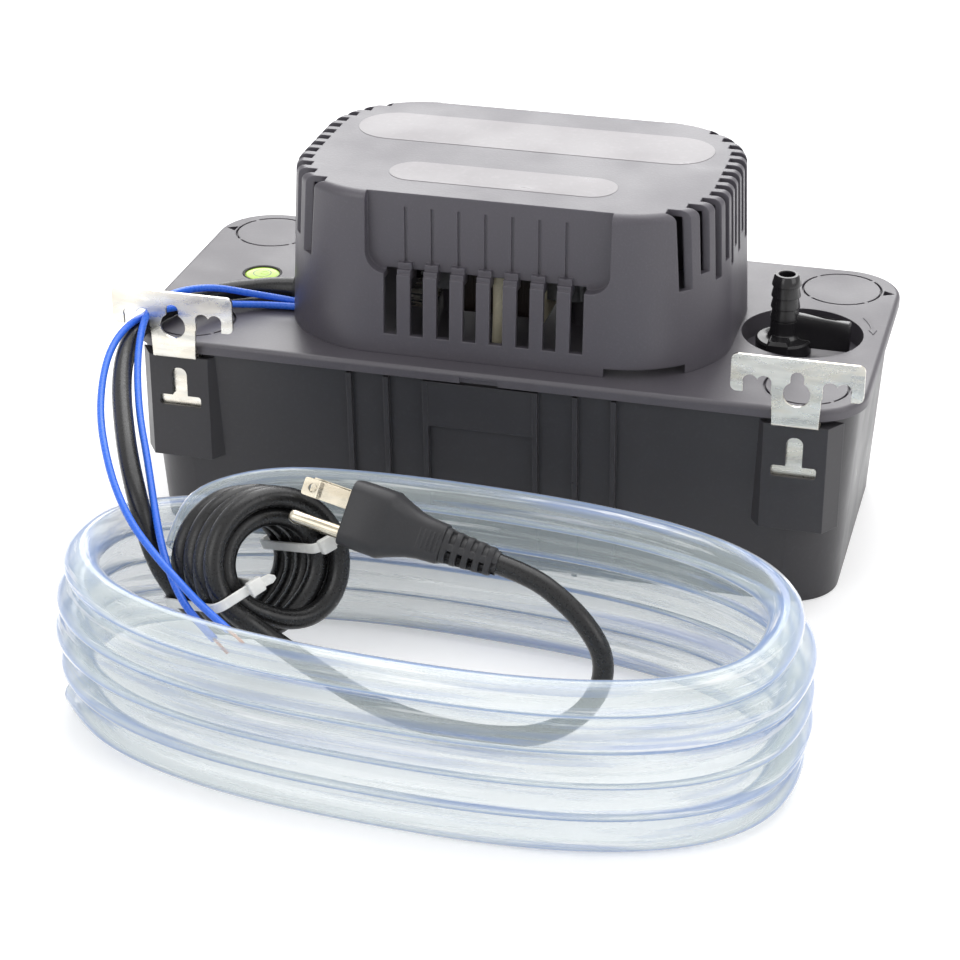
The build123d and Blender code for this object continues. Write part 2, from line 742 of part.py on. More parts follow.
# ---------------------------------------------------------------- pump under the deck
with BuildPart() as pump_housing:
    with BuildSketch(Plane.XY.offset(volute_foot + 2.0)):
        with Locations((shaft_x, shaft_y)):
            Circle(volute_radius)
    extrude(amount=volute_height - 2.0)
    with BuildSketch(Plane.XY.offset(volute_top)):
        with Locations((shaft_x, shaft_y)):
            Circle(column_radius)
    extrude(amount=plate_foot - volute_top)
    with BuildSketch(Plane.XY.offset(plate_foot - 3.0)):
        with Locations((shaft_x, shaft_y)):
            Circle(volute_radius)
    extrude(amount=3.0)
    # outlet boss of the volute, square to the duct
    with BuildSketch(Plane.YZ.offset(shaft_x)):
        with Locations((valve_y, duct_height)):
            Circle(duct_radius + socket_wall)
    extrude(amount=volute_radius + 10)
    with BuildSketch(Plane.XY.offset(volute_foot)):
        with Locations((shaft_x, shaft_y)):
            Circle(volute_radius - volute_wall)
    extrude(amount=volute_height - volute_wall, mode=Mode.SUBTRACT)
    with BuildSketch(Plane.XY.offset(volute_foot)):
        with Locations((shaft_x, shaft_y)):
            Circle(column_bore)
    extrude(amount=plate_foot - volute_foot, mode=Mode.SUBTRACT)
    with BuildSketch(Plane.YZ.offset(shaft_x)):
        with Locations((valve_y, duct_height)):
            Circle(duct_bore)
    extrude(amount=volute_radius + 12, mode=Mode.SUBTRACT)
    with BuildSketch(Plane.YZ.offset(shaft_x + volute_radius)):
        with Locations((valve_y, duct_height)):
            Circle(duct_radius)
    extrude(amount=12, mode=Mode.SUBTRACT)
    # weep holes in the column keep water off the motor
    with BuildSketch(Plane.XZ.offset(-shaft_y - 20)):
        with Locations((shaft_x, plate_foot - 10)):
            SlotOverall(10, 3)
    extrude(amount=40, mode=Mode.SUBTRACT)
save(pump_housing, "pump_housing")

with BuildPart() as inlet_strainer:
    with BuildSketch(Plane.XY.offset(volute_foot)):
        with Locations((shaft_x, shaft_y)):
            Circle(volute_radius)
            Circle(inlet_radius, mode=Mode.SUBTRACT)
    extrude(amount=2.0)
    with BuildSketch(Plane.XY.offset(tank_floor + fit)):
        with Locations((shaft_x, shaft_y)):
            Circle(volute_radius - 2)
            Circle(volute_radius - 4, mode=Mode.SUBTRACT)
    extrude(amount=volute_foot - tank_floor - fit)
    with BuildSketch(Plane.XY.offset(tank_floor + fit)):
        with Locations((shaft_x, shaft_y)):
            with PolarLocations(volute_radius - 3, strainer_slots):
                Rectangle(8, 3.0)
    extrude(amount=volute_foot - tank_floor - fit - 1.5, mode=Mode.SUBTRACT)
save(inlet_strainer, "inlet_strainer")

impeller_foot = volute_foot + 3.5
with BuildPart() as impeller:
    with BuildSketch(Plane.XY.offset(impeller_foot)):
        with Locations((shaft_x, shaft_y)):
            Circle(shaft_radius + 3)
            with PolarLocations((impeller_radius + shaft_radius + 2) / 2, impeller_blades):
                Rectangle(impeller_radius - shaft_radius - 2, 1.6, rotation=18)
    extrude(amount=6.0)
    with BuildSketch(Plane.XY.offset(impeller_foot + 6.0)):
        with Locations((shaft_x, shaft_y)):
            Circle(impeller_radius)
    extrude(amount=1.6)
    with BuildSketch(Plane.XY.offset(impeller_foot)):
        with Locations((shaft_x, shaft_y)):
            Circle(shaft_radius)
    extrude(amount=8.0, mode=Mode.SUBTRACT)
save(impeller, "impeller")

duct_start = (shaft_x + volute_radius, valve_y, duct_height)
with BuildPart() as discharge_duct:
    with BuildLine() as duct_route:
        FilletPolyline(
            duct_start,
            (valve_x, valve_y, duct_height),
            (valve_x, valve_y, socket_foot),
            radius=duct_bend,
        )
    with BuildSketch(Plane(origin=duct_start, z_dir=(1, 0, 0))):
        Circle(duct_radius - running_fit)
    sweep()
    with BuildSketch(Plane.XY.offset(socket_foot - 2.0)):
        with Locations((valve_x, valve_y)):
            Circle(valve_stem_radius + running_fit + socket_wall)
    extrude(amount=well_floor - well_wall - socket_foot + 2.0)
    with BuildSketch(Plane.XY.offset(socket_foot)):
        with Locations((valve_x, valve_y)):
            Circle(valve_stem_radius + running_fit)
    extrude(amount=well_floor - well_wall - socket_foot, mode=Mode.SUBTRACT)
    with BuildSketch(Plane(origin=duct_start, z_dir=(1, 0, 0))):
        Circle(duct_bore)
    sweep(path=duct_route.wires()[0], mode=Mode.SUBTRACT)
save(discharge_duct, "discharge_duct")

# ---------------------------------------------------------------- check valve
with BuildPart() as check_valve:
    with BuildSketch(Plane.XZ.offset(-valve_y)):
        with BuildLine():
            ridge_pitch = (barb_top - valve_hub_top - 3) / barb_ridges
            profile = [(valve_x, valve_stem_foot), (valve_x + valve_stem_radius, valve_stem_foot)]
            profile += [
                (valve_x + valve_stem_radius, well_floor + 0.5),
                (valve_x + valve_hub_radius, well_floor + 0.5),
                (valve_x + valve_hub_radius, valve_hub_top - 2),
                (valve_x + barb_radius + 0.4, valve_hub_top),
                (valve_x + barb_radius, valve_hub_top + 3),
            ]
            for i in range(barb_ridges):
                foot = valve_hub_top + 3 + i * ridge_pitch
                profile.append((valve_x + barb_radius + barb_ridge, foot + 0.3))
                profile.append((valve_x + barb_radius - 0.2, foot + ridge_pitch))
            profile.append((valve_x, barb_top))
            Polyline(*profile, close=True)
        make_face()
    revolve(axis=Axis((valve_x, valve_y, 0), (0, 0, 1)))
    # the twist handle, and the lock tab in front of the hub
    with BuildSketch(Plane.XY.offset(valve_arm_foot)):
        with Locations((valve_x + valve_arm_reach / 2, valve_y)):
            Rectangle(valve_arm_reach, valve_arm_width)
    extrude(amount=valve_arm_top - valve_arm_foot)
    with BuildSketch(Plane.XY.offset(valve_arm_foot)):
        with Locations((valve_x - 2.0, valve_y - valve_hub_radius)):
            Rectangle(7.0, 6.0)
    extrude(amount=4.5)
    # seat, ball chamber and the bore of the barb
    with BuildSketch(Plane.XY.offset(valve_stem_foot)):
        with Locations((valve_x, valve_y)):
            Circle(valve_seat_radius)
    extrude(amount=valve_chamber_foot - valve_stem_foot, mode=Mode.SUBTRACT)
    with BuildSketch(Plane.XY.offset(valve_chamber_foot)):
        with Locations((valve_x, valve_y)):
            Circle(valve_chamber_radius)
    extrude(amount=well_floor + 4 - valve_chamber_foot, mode=Mode.SUBTRACT)
    with BuildSketch(Plane.XY.offset(well_floor)):
        with Locations((valve_x, valve_y)):
            Circle(barb_bore)
    extrude(amount=barb_top - well_floor, mode=Mode.SUBTRACT)
    # groove of the seal ring
    with BuildSketch(Plane.XY.offset(valve_stem_foot + 5)):
        with Locations((valve_x, valve_y)):
            Circle(valve_stem_radius + 1)
            Circle(valve_stem_radius - 1.3, mode=Mode.SUBTRACT)
    extrude(amount=1.8, mode=Mode.SUBTRACT)
save(check_valve, "check_valve")

seal_tube = 0.65
with BuildPart() as valve_seal:
    with BuildSketch(Plane.XZ.offset(-valve_y)):
        with Locations((valve_x + valve_stem_radius - seal_tube, valve_stem_foot + 5.9)):
            Circle(seal_tube)
    revolve(axis=Axis((valve_x, valve_y, 0), (0, 0, 1)))
save(valve_seal, "valve_seal")

seat_rise = math.sqrt(ball_radius ** 2 - valve_seat_radius ** 2)
with BuildPart() as valve_ball:
    with Locations((valve_x, valve_y, valve_chamber_foot + seat_rise + 0.05)):
        Sphere(ball_radius)
save(valve_ball, "valve_ball")

# ---------------------------------------------------------------- float and switches
with BuildPart() as float_body:
    with BuildSketch(Plane.XY.offset(float_foot)):
        with Locations((float_x, 0)):
            RectangleRounded(float_length, float_depth, 12)
    extrude(amount=float_height)
    fillet(float_body.edges().filter_by(Plane.XY), float_round)
save(float_body, "float_body")

with BuildPart() as float_rod:
    with BuildSketch(Plane.XY.offset(float_foot + float_height)):
        with Locations((float_x, 0)):
            Circle(rod_radius)
    extrude(amount=rod_top - float_foot - float_height)
    with BuildSketch(Plane.XY.offset(rod_top - 1.5)):
        with Locations((float_x, 0)):
            SlotOverall(2 * switch_gap_y + 8, 7, rotation=90)
    extrude(amount=1.5)
save(float_rod, "float_rod")

with BuildPart() as switch_bracket:
    with BuildSketch(Plane.XY.offset(deck_top)):
        with Locations((bracket_face_x + sheet / 2, 0)):
            Rectangle(sheet, 2 * switch_gap_y + 14)
    extrude(amount=safety_lever_height + switch_rise + switch_height + 1 - deck_top)
    with BuildSketch(Plane.XY.offset(deck_top)):
        with Locations((bracket_face_x - 5, 0)):
            Rectangle(10 + sheet, 2 * switch_gap_y + 14)
    extrude(amount=sheet)
save(switch_bracket, "switch_bracket")

for name, side, lever_height in (
    ("run", -1, run_lever_height),
    ("safety", 1, safety_lever_height),
):
    middle_y = side * switch_gap_y
    pin_x = bracket_face_x - 3.0
    lever_reach = pin_x - float_x + lever_past
    switch_foot = lever_height + switch_rise
    with BuildPart() as switch_body:
        with BuildSketch(Plane.XY.offset(switch_foot)):
            with Locations((bracket_face_x - switch_length / 2, middle_y)):
                Rectangle(switch_length, switch_width)
        extrude(amount=switch_height)
        # two ears carry the lever's pin
        for ear in (-1, 1):
            with BuildSketch(Plane.XZ.offset(-middle_y - ear * (switch_width / 2 - 0.3) + 0.3)):
                with Locations((pin_x, (lever_height - 2.2 + switch_foot) / 2)):
                    Rectangle(5, switch_foot - lever_height + 2.2)
                with Locations((pin_x, lever_height)):
                    Circle(lever_pin_radius + running_fit, mode=Mode.SUBTRACT)
            extrude(amount=-0.6)
    save(switch_body, f"{name}_switch")
    with BuildPart() as lever:
        with BuildSketch(Plane.XZ.offset(-middle_y + lever_width / 2)):
            with Locations((pin_x, lever_height)):
                Circle(1.5)
            with Locations((pin_x - lever_reach / 2, lever_height + 1.5 - lever_sheet / 2)):
                Rectangle(lever_reach, lever_sheet)
        extrude(amount=-lever_width)
        with BuildSketch(Plane.XZ.offset(-middle_y + switch_width / 2)):
            with Locations((pin_x, lever_height)):
                Circle(lever_pin_radius)
        extrude(amount=-switch_width)
    save(lever, f"{name}_lever")

# ---------------------------------------------------------------- supply cord
with BuildPart() as cord_grommet:
    with BuildSketch(Plane.YZ.offset(hood_wall_left - grommet_flange)):
        with Locations((cord_exit_y, cord_exit_height)):
            Circle(cord_radius + 2.0)
    extrude(amount=grommet_flange)
    with BuildSketch(Plane.YZ.offset(hood_wall_left)):
        with Locations((cord_exit_y, cord_exit_height)):
            Circle(cord_radius + 0.9)
    extrude(amount=hood_wall + 1.0)
    with BuildSketch(Plane.YZ.offset(hood_wall_left - 5)):
        with Locations((cord_exit_y, cord_exit_height)):
            Circle(cord_radius + 0.04)
    extrude(amount=12, mode=Mode.SUBTRACT)
    with BuildSketch(Plane.XY.offset(deck_top - 10)):
        with Locations((hood_wall_left, cord_exit_y)):
            Rectangle(40, 40)
    extrude(amount=10.05, mode=Mode.SUBTRACT)
save(cord_grommet, "cord_grommet")

cord_lead_points = [
    (-82, -17, 89.3),
    (-96, -17.6, 89.2),
    (-110, -22.5, 89.1),
    (-122, -31.5, 89.1),
    (-130.5, -44, 89.2),
    (-135, -58, 89.4),
    (-136.2, -73, 89.4),
    (-134.3, -90, 87.2),
    (-128.7, -108.7, 83.4),
    (-120, -129, 78.8),
    (-110.6, -148.5, 73.8),
    (-101.3, -163.6, 63.9),
    (-95.8, -168.4, 50.5),
    (-89.8, -170.4, 38),
    (-82.5, -168, 26.5),
]
relief_end = tuple(p + (plug_length + plug_relief) * d for p, d in zip(plug_face, plug_axis))
relief_lead = tuple(p + 12.0 * d for p, d in zip(relief_end, plug_axis))
cord_tail_points = [
    (-50.2, -192.6, 38.2),
    (-39.5, -188, 27.5),
    (-28, -184.6, 17.5),
    (-14, -183.4, 8.6),
    (2, -185.4, 4.3),
    (20, -189.5, 4),
    (37.5, -190, 4.2),
    (53, -187.2, 5.2),
    (66, -183, 12),
    (73.6, -180.4, 23.8),
    (74, -179, 36),
    (67.4, -177.4, 46.4),
    (58, -175, 54),
    relief_lead,
    relief_end,
]
lead_a_points = [
    (-82, -29.4, 86.8),
    (-94, -30.4, 86.9),
    (-106.5, -34.5, 87.6),
    (-117.5, -42.5, 89.8),
    (-126.5, -54, 92.4),
    (-132.6, -65.5, 94.1),
    (-137, -78.5, 94.4),
    (-138.8, -93, 90.4),
    (-135.5, -110.5, 85.2),
    (-128.8, -130, 80),
    (-119.8, -148, 75.4),
    (-110.3, -163.4, 69.6),
    (-99.6, -175.5, 62.4),
    (-87, -185, 56),
    (-75.5, -193, 51.5),
    (-64, -200.5, 47),
    (-52.5, -207, 43.5),
]
lead_b_points = [
    (-82, -25.4, 86.8),
    (-93.5, -26.2, 88.8),
    (-105, -29.6, 93.6),
    (-116, -35.5, 96.8),
    (-124.5, -44.5, 98.4),
    (-130, -56, 98.9),
    (-132.3, -69.5, 97.1),
    (-130.6, -83, 92.4),
    (-125.2, -101, 86),
    (-115.6, -124, 78.6),
    (-105.6, -143, 72.5),
    (-97, -160, 63),
    (-88, -176, 52.5),
    (-79.6, -186.5, 44.7),
    (-70, -196, 40),
    (-59.5, -203, 36.5),
]
for name, points, radius in (
    ("power_cord_lead", cord_lead_points, cord_radius),
    ("power_cord_tail", cord_tail_points, cord_radius),
    ("signal_lead_a", lead_a_points, lead_radius),
    ("signal_lead_b", lead_b_points, lead_radius),
):
    cord_tube(points, radius, name)

coil_across = (-cord_coil_axis[1], cord_coil_axis[0], 0)
coil_plane = Plane(origin=cord_coil_face, x_dir=coil_across, z_dir=cord_coil_axis)
coil_back = coil_plane.offset(-cord_coil_length)
with BuildPart() as power_cord_coil:
    for radius, mode in ((cord_coil_radius, Mode.ADD), (cord_coil_bore, Mode.SUBTRACT)):
        with BuildSketch(coil_back):
            with Locations((-cord_coil_skew, 0)):
                Circle(radius)
        with BuildSketch(coil_plane):
            Circle(radius)
        loft(mode=mode)
save(power_cord_coil, "power_cord_coil")

# each tie is a band round the coil's wall, with its head over the front turn
wall_middle = (cord_coil_radius + cord_coil_bore) / 2
wall_size = cord_coil_radius - cord_coil_bore
band_gap = 1.2
with BuildPart() as cable_ties:
    for turn in (228.0, 42.0):
        spoke = Vector(math.cos(math.radians(turn)), math.sin(math.radians(turn)), 0)
        middle = coil_plane.from_local_coords(spoke * wall_middle + Vector(-cord_coil_skew / 2, 0, 0))
        middle = middle - coil_plane.z_dir * (cord_coil_length / 2)
        across = coil_plane.from_local_coords(spoke) - coil_plane.origin
        tie_plane = Plane(origin=middle, x_dir=across, z_dir=across.cross(coil_plane.z_dir))
        lean = math.degrees(math.atan2(cord_coil_skew * spoke.X, cord_coil_length))
        head_sign = 1 if tie_plane.y_dir.dot(coil_plane.z_dir) > 0 else -1
        with BuildSketch(tie_plane.offset(-tie_width / 2)):
            with Locations(Location((0, 0, 0), (0, 0, -head_sign * lean))):
                RectangleRounded(wall_size + 2 * (tie_sheet + band_gap), cord_coil_length + 2 * tie_sheet + fit, 4)
                RectangleRounded(wall_size + 2 * band_gap, cord_coil_length + fit, 3, mode=Mode.SUBTRACT)
        extrude(amount=tie_width)
        head_y = cord_coil_length / 2 + tie_sheet + 1.9
        with BuildSketch(tie_plane.offset(-2.7)):
            with Locations((0, head_sign * head_y)):
                RectangleRounded(5.0, 4.4, 0.8)
        extrude(amount=5.4)
save(cable_ties, "cable_ties")

# ---------------------------------------------------------------- plug
plug_plane = Plane(origin=plug_face, x_dir=plug_side, z_dir=plug_axis)
with BuildPart() as plug_body:
    with BuildSketch(plug_plane):
        RectangleRounded(21, 23.5, 8)
    with BuildSketch(plug_plane.offset(13)):
        RectangleRounded(21.5, 24, 9)
    loft()
    with BuildSketch(plug_plane.offset(13)):
        RectangleRounded(21.5, 24, 9)
    with BuildSketch(plug_plane.offset(plug_length)):
        RectangleRounded(13.5, 13.5, 6)
    loft()
    with BuildSketch(plug_plane.offset(plug_length)):
        Circle(6.2)
    with BuildSketch(plug_plane.offset(plug_length + plug_relief)):
        Circle(4.7)
    loft()
save(plug_body, "plug_body")

blade_y = -ground_offset / 3
with BuildPart() as plug_blades:
    with BuildSketch(plug_plane.offset(-blade_length)):
        with Locations((0, blade_y)):
            with GridLocations(blade_spacing, 1, 2, 1):
                Rectangle(1.5, 6.35)
    extrude(amount=blade_length)
save(plug_blades, "plug_blades")

with BuildPart() as plug_ground_pin:
    with BuildSketch(plug_plane.offset(-blade_length - 3)):
        with Locations((0, blade_y + ground_offset)):
            Circle(2.4)
    extrude(amount=blade_length + 3)
    fillet(plug_ground_pin.faces().sort_by(Axis(plug_plane.origin, plug_plane.z_dir))[0].edges(), 1.8)
save(plug_ground_pin, "plug_ground_pin")

# ---------------------------------------------------------------- discharge hose, coiled
def hose_oval(grow):
    """Points round the hose's coil, a full oval, moved out by this much."""
    power = 2.0 / hose_fullness
    points = []
    for i in range(48):
        angle = 2 * math.pi * i / 48
        c = math.cos(angle)
        d = math.sin(angle)
        x = math.copysign(abs(c) ** power, c) * (hose_half_length + grow)
        y = math.copysign(abs(d) ** power, d) * (hose_half_depth + grow)
        points.append((x, y))
    return points


hose_plane = Plane((hose_centre_x, hose_centre_y, 0)).rotated((0, 0, hose_turn))
with BuildPart() as discharge_hose:
    for grow, mode in ((hose_radius, Mode.ADD), (-hose_radius, Mode.SUBTRACT)):
        with BuildSketch(hose_plane):
            with BuildLine():
                Spline(*hose_oval(grow), periodic=True)
            make_face()
        extrude(amount=hose_height, mode=mode)
save(discharge_hose, "discharge_hose")
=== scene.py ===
"""Dresses the condensate pump's solids and lays out its supply cord, blue leads, plug and hose.

Sizes inside the classes are millimetres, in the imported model's own frame.
"""

import logging
import math
from collections.abc import Callable, Iterable, Sequence
from dataclasses import dataclass
from enum import Enum, auto

import bmesh
import bpy
from mathutils import Matrix, Vector


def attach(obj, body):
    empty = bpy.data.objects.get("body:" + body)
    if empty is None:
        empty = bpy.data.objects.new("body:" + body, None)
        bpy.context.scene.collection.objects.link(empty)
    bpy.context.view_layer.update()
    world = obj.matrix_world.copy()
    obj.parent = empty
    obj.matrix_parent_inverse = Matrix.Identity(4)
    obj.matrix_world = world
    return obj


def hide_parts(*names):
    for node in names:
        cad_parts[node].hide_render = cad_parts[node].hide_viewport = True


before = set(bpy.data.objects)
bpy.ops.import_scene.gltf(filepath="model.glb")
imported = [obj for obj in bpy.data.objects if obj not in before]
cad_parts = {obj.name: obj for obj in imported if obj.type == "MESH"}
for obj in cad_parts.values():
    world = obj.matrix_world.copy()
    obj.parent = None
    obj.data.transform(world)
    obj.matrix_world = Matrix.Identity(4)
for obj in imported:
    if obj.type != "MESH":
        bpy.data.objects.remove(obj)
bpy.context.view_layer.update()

log = logging.getLogger("condensate_pump")

Colour = tuple[float, ...]
Pair = tuple[float, float]
Point = tuple[float, float, float]
Profile = Sequence[Pair]
Stations = tuple[tuple[float, float, float, float], ...]
Route = tuple[Point, ...]
Line = Sequence[Vector]
Inputs = dict[str | int, object]
Node = bpy.types.Node
Tree = bpy.types.NodeTree
Socket = bpy.types.NodeSocket
Material = bpy.types.Material
Piece = bpy.types.Object

MM = 0.001
RANGE_INPUTS = ("Value", "From Min", "From Max", "To Min", "To Max")
COLOUR_A, COLOUR_B, COLOUR_OUT = 6, 7, 2  # sockets of a Mix node that mixes colours
MERGE_DISTANCE = 1e-4
# Directions that nothing round runs along, for the X of its sections.
SLEEVE_X: Point = (0.2, 0.3, 1.0)
END_X: Point = (0.1, 0.2, 1.0)


def srgb(*parts: int) -> Colour:
    """Converts a screen colour, each part from 0 to 255, into linear light."""
    shares = [part / 255 for part in parts]
    return tuple(s / 12.92 if s <= 0.04045 else ((s + 0.055) / 1.055) ** 2.4 for s in shares)


def shade(colour: Colour, factor: float) -> Colour:
    """Makes a colour lighter or darker by a factor."""
    return tuple(part * factor for part in colour)


# --- materials


def feed(tree: Tree, node: Node, inputs: Inputs) -> None:
    """Gives a node's inputs their values.

    Args:
        tree: The node tree.
        node: The node.
        inputs: Input names or indices, each with a value or a socket to link.
    """
    for key, value in inputs.items():
        if isinstance(value, Socket):
            tree.links.new(value, node.inputs[key])
        else:
            node.inputs[key].default_value = value


def add_node(tree: Tree, kind: str, inputs: Inputs, **settings: object) -> Node:
    """Adds a node.

    Args:
        tree: The node tree.
        kind: Blender's name of the node's type.
        inputs: Input names or indices, each with a value or a socket to link.
        **settings: The node's own properties.

    Returns:
        The new node.
    """
    node = tree.nodes.new(kind)
    for key, value in settings.items():
        setattr(node, key, value)
    feed(tree, node, inputs)
    return node


def seen_directly(tree: Tree) -> Socket:
    """Tells the rays that look at a thing from those that only light it.

    Args:
        tree: The node tree to add to.

    Returns:
        A value that is 1 for camera, gloss and transmission rays.
    """
    path = add_node(tree, "ShaderNodeLightPath", {})
    total = path.outputs["Is Camera Ray"]
    for name in ("Is Glossy Ray", "Is Transmission Ray"):
        pair = {0: total, 1: path.outputs[name]}
        total = add_node(tree, "ShaderNodeMath", pair, operation="MAXIMUM").outputs[0]
    return total


class Recipe:
    """A material being put together: its node tree, its one surface shader and its tone."""

    def __init__(self, name: str, colour: Colour, roughness: float, metallic: float = 0) -> None:
        """Starts the material.

        Args:
            name: The material's name.
            colour: Base colour in linear light.
            roughness: Roughness where nothing varies it.
            metallic: 1 for bare metal, 0 otherwise.
        """
        self.colour, self.roughness = colour, roughness
        self.tone: object = colour
        self.material = bpy.data.materials.new(name)
        self.material.use_nodes = True
        self.tree = self.material.node_tree
        self.shader = self.tree.nodes["Principled BSDF"]
        self.set({"Base Color": (*colour, 1.0), "Roughness": roughness, "Metallic": metallic})
        self.place = self.add("ShaderNodeTexCoord", {}).outputs["Object"]

    def set(self, inputs: Inputs) -> None:
        """Sets the shader's inputs to values, or links them to sockets."""
        feed(self.tree, self.shader, inputs)

    def add(self, kind: str, inputs: Inputs, **settings: object) -> Node:
        """Adds a node to the material."""
        return add_node(self.tree, kind, inputs, **settings)

    def mapped(self, where: Socket, scale: Point, shift: Point = (0, 0, 0)) -> Socket:
        """Coordinates that are scaled and then shifted."""
        inputs = {"Vector": where, "Scale": scale, "Location": shift}
        return self.add("ShaderNodeMapping", inputs).outputs[0]

    def clouds(self, where: Socket, detail: float) -> Socket:
        """Noise over mapped coordinates, with this many octaves of finer noise."""
        inputs = {"Vector": where, "Scale": 1.0, "Detail": detail}
        return self.add("ShaderNodeTexNoise", inputs).outputs[0]

    def noise(
        self, size: float, detail: float = 3.0, stretch: Point = (1, 1, 1), seed: float = 0.0
    ) -> Socket:
        """Cloudy noise.

        Args:
            size: Size of a patch, mm.
            detail: Octaves of finer noise.
            stretch: How much longer patches are along X, Y and Z.
            seed: Shift of the pattern, m.

        Returns:
            The noise's value socket.
        """
        scale = tuple(1.0 / (size * MM * part) for part in stretch)
        return self.clouds(self.mapped(self.place, scale, (seed,) * 3), detail)

    def streaks(self, along: float, around: float, seed: float = 0.0) -> Socket:
        """Noise drawn out along a cord, on the cord's own UV map.

        Args:
            along: How many patches lie along the whole cord.
            around: How many patches lie round it.
            seed: Shift of the pattern.

        Returns:
            The noise's value socket.
        """
        own = self.add("ShaderNodeUVMap", {}, uv_map="UVMap").outputs[0]
        return self.clouds(self.mapped(own, (along, around, 1), (seed, seed, 0)), 4.0)

    def spread(
        self, value: Socket, low: float, high: float, to_low: float = 0.0, to_high: float = 1.0
    ) -> Socket:
        """Maps low to high onto to_low to to_high, smoothly and clamped."""
        inputs = dict(zip(RANGE_INPUTS, (value, low, high, to_low, to_high)))
        return self.add("ShaderNodeMapRange", inputs, interpolation_type="SMOOTHSTEP").outputs[0]

    def maths(self, operation: str, first: object, second: object = 0.0) -> Socket:
        """Combines two values with one of Blender's Math operations."""
        return self.add("ShaderNodeMath", {0: first, 1: second}, operation=operation).outputs[0]

    def plus(self, value: Socket, extra: Socket, times: float) -> Socket:
        """Adds a multiple of another value."""
        return self.maths("ADD", value, self.maths("MULTIPLY", extra, times))

    def mix(self, share: Socket, first: object, second: object) -> Socket:
        """Mixes two colours, each a colour or a socket.

        Args:
            share: How much of the second shows, from 0 to 1.
            first: The colour under it.
            second: The colour over it.

        Returns:
            The mixed colour's socket.
        """
        inputs = {0: share}
        for index, colour in ((COLOUR_A, first), (COLOUR_B, second)):
            inputs[index] = colour if isinstance(colour, Socket) else (*colour, 1.0)
        return self.add("ShaderNodeMix", inputs, data_type="RGBA").outputs[COLOUR_OUT]

    def mottle(self, share: Socket, dark: float, light: float) -> None:
        """Starts the tone over, between two factors of the base colour."""
        self.tone = shade(self.colour, dark)
        self.tint(share, light)

    def tint(self, share: Socket, over: Colour | float) -> None:
        """Lays a colour, or the base colour made lighter or darker, over the tone.

        Args:
            share: How much of it shows, from 0 to 1.
            over: The colour, or the base colour's factor.
        """
        colour = over if isinstance(over, tuple) else shade(self.colour, over)
        self.tone = self.mix(share, self.tone, colour)
        self.set({"Base Color": self.tone})

    def drift(self, value: Socket, less: float, more: float) -> Socket:
        """Lets the roughness drift with a noise.

        Args:
            value: The noise.
            less: How far the roughness falls.
            more: How far it rises.

        Returns:
            The roughness.
        """
        rough = self.spread(value, 0.3, 0.7, self.roughness - less, self.roughness + more)
        self.set({"Roughness": rough})
        return rough

    def edges(self, radius: float) -> Socket:
        """A mask of the edges that hands and boxes rub.

        Args:
            radius: How far from an edge the wear reaches, mm.

        Returns:
            A value that is 1 on the edges.
        """
        facing = self.add("ShaderNodeNewGeometry", {}).outputs["Normal"]
        pair = {0: self.rounded(radius), 1: facing}
        same = self.add("ShaderNodeVectorMath", pair, operation="DOT_PRODUCT")
        return self.spread(same.outputs["Value"], 0.999, 0.9)

    def rounded(self, radius: float) -> Socket:
        """The surface's normal, with its edges rounded by a radius in mm."""
        return self.add("ShaderNodeBevel", {"Radius": radius * MM}, samples=4).outputs[0]

    def relief(self, height: Socket, depth: float, softened: float = 0.0) -> None:
        """Gives the surface a relief.

        Args:
            height: Height from 0 to 1.
            depth: What a height of 1 stands for, mm.
            softened: Radius that sharp edges are softened to, mm.
        """
        inputs = {"Height": height, "Distance": depth * MM, "Strength": 1.0}
        if softened:
            inputs["Normal"] = self.rounded(softened)
        self.set({"Normal": self.add("ShaderNodeBump", inputs).outputs[0]})


@dataclass(frozen=True)
class MouldedPlastic:
    """Injection-moulded plastic with a spark-eroded or polished skin."""

    name: str
    colour: Colour
    roughness: float = 0.5
    grain: float = 0.8
    grain_depth: float = 0.03
    wear: float = 0.25
    edge: float = 0.5
    gloss: float = 0.5

    def material(self) -> Material:
        """Builds the material: mottled tone, skin grain, scuffs and rubbed edges.

        Returns:
            The material.
        """
        mix = Recipe(self.name, self.colour, self.roughness)
        mix.set({"Specular IOR Level": self.gloss})
        clouds = mix.noise(34, 4)
        grain = mix.noise(self.grain, seed=3.1)
        scuffs = mix.spread(mix.noise(9, 5, (4, 1, 1.5), 7.7), 0.62, 0.78)
        mix.mottle(clouds, 0.9, 1.1)
        mix.tint(mix.spread(grain, 0.5, 0.75, 0.0, 0.35), 1.35)
        mix.tint(mix.maths("MULTIPLY", mix.edges(self.edge), self.wear), 2.3)
        mix.set({"Roughness": mix.plus(mix.drift(clouds, 0.05, 0.05), scuffs, -0.1)})
        mix.relief(grain, self.grain_depth, self.edge)
        return mix.material


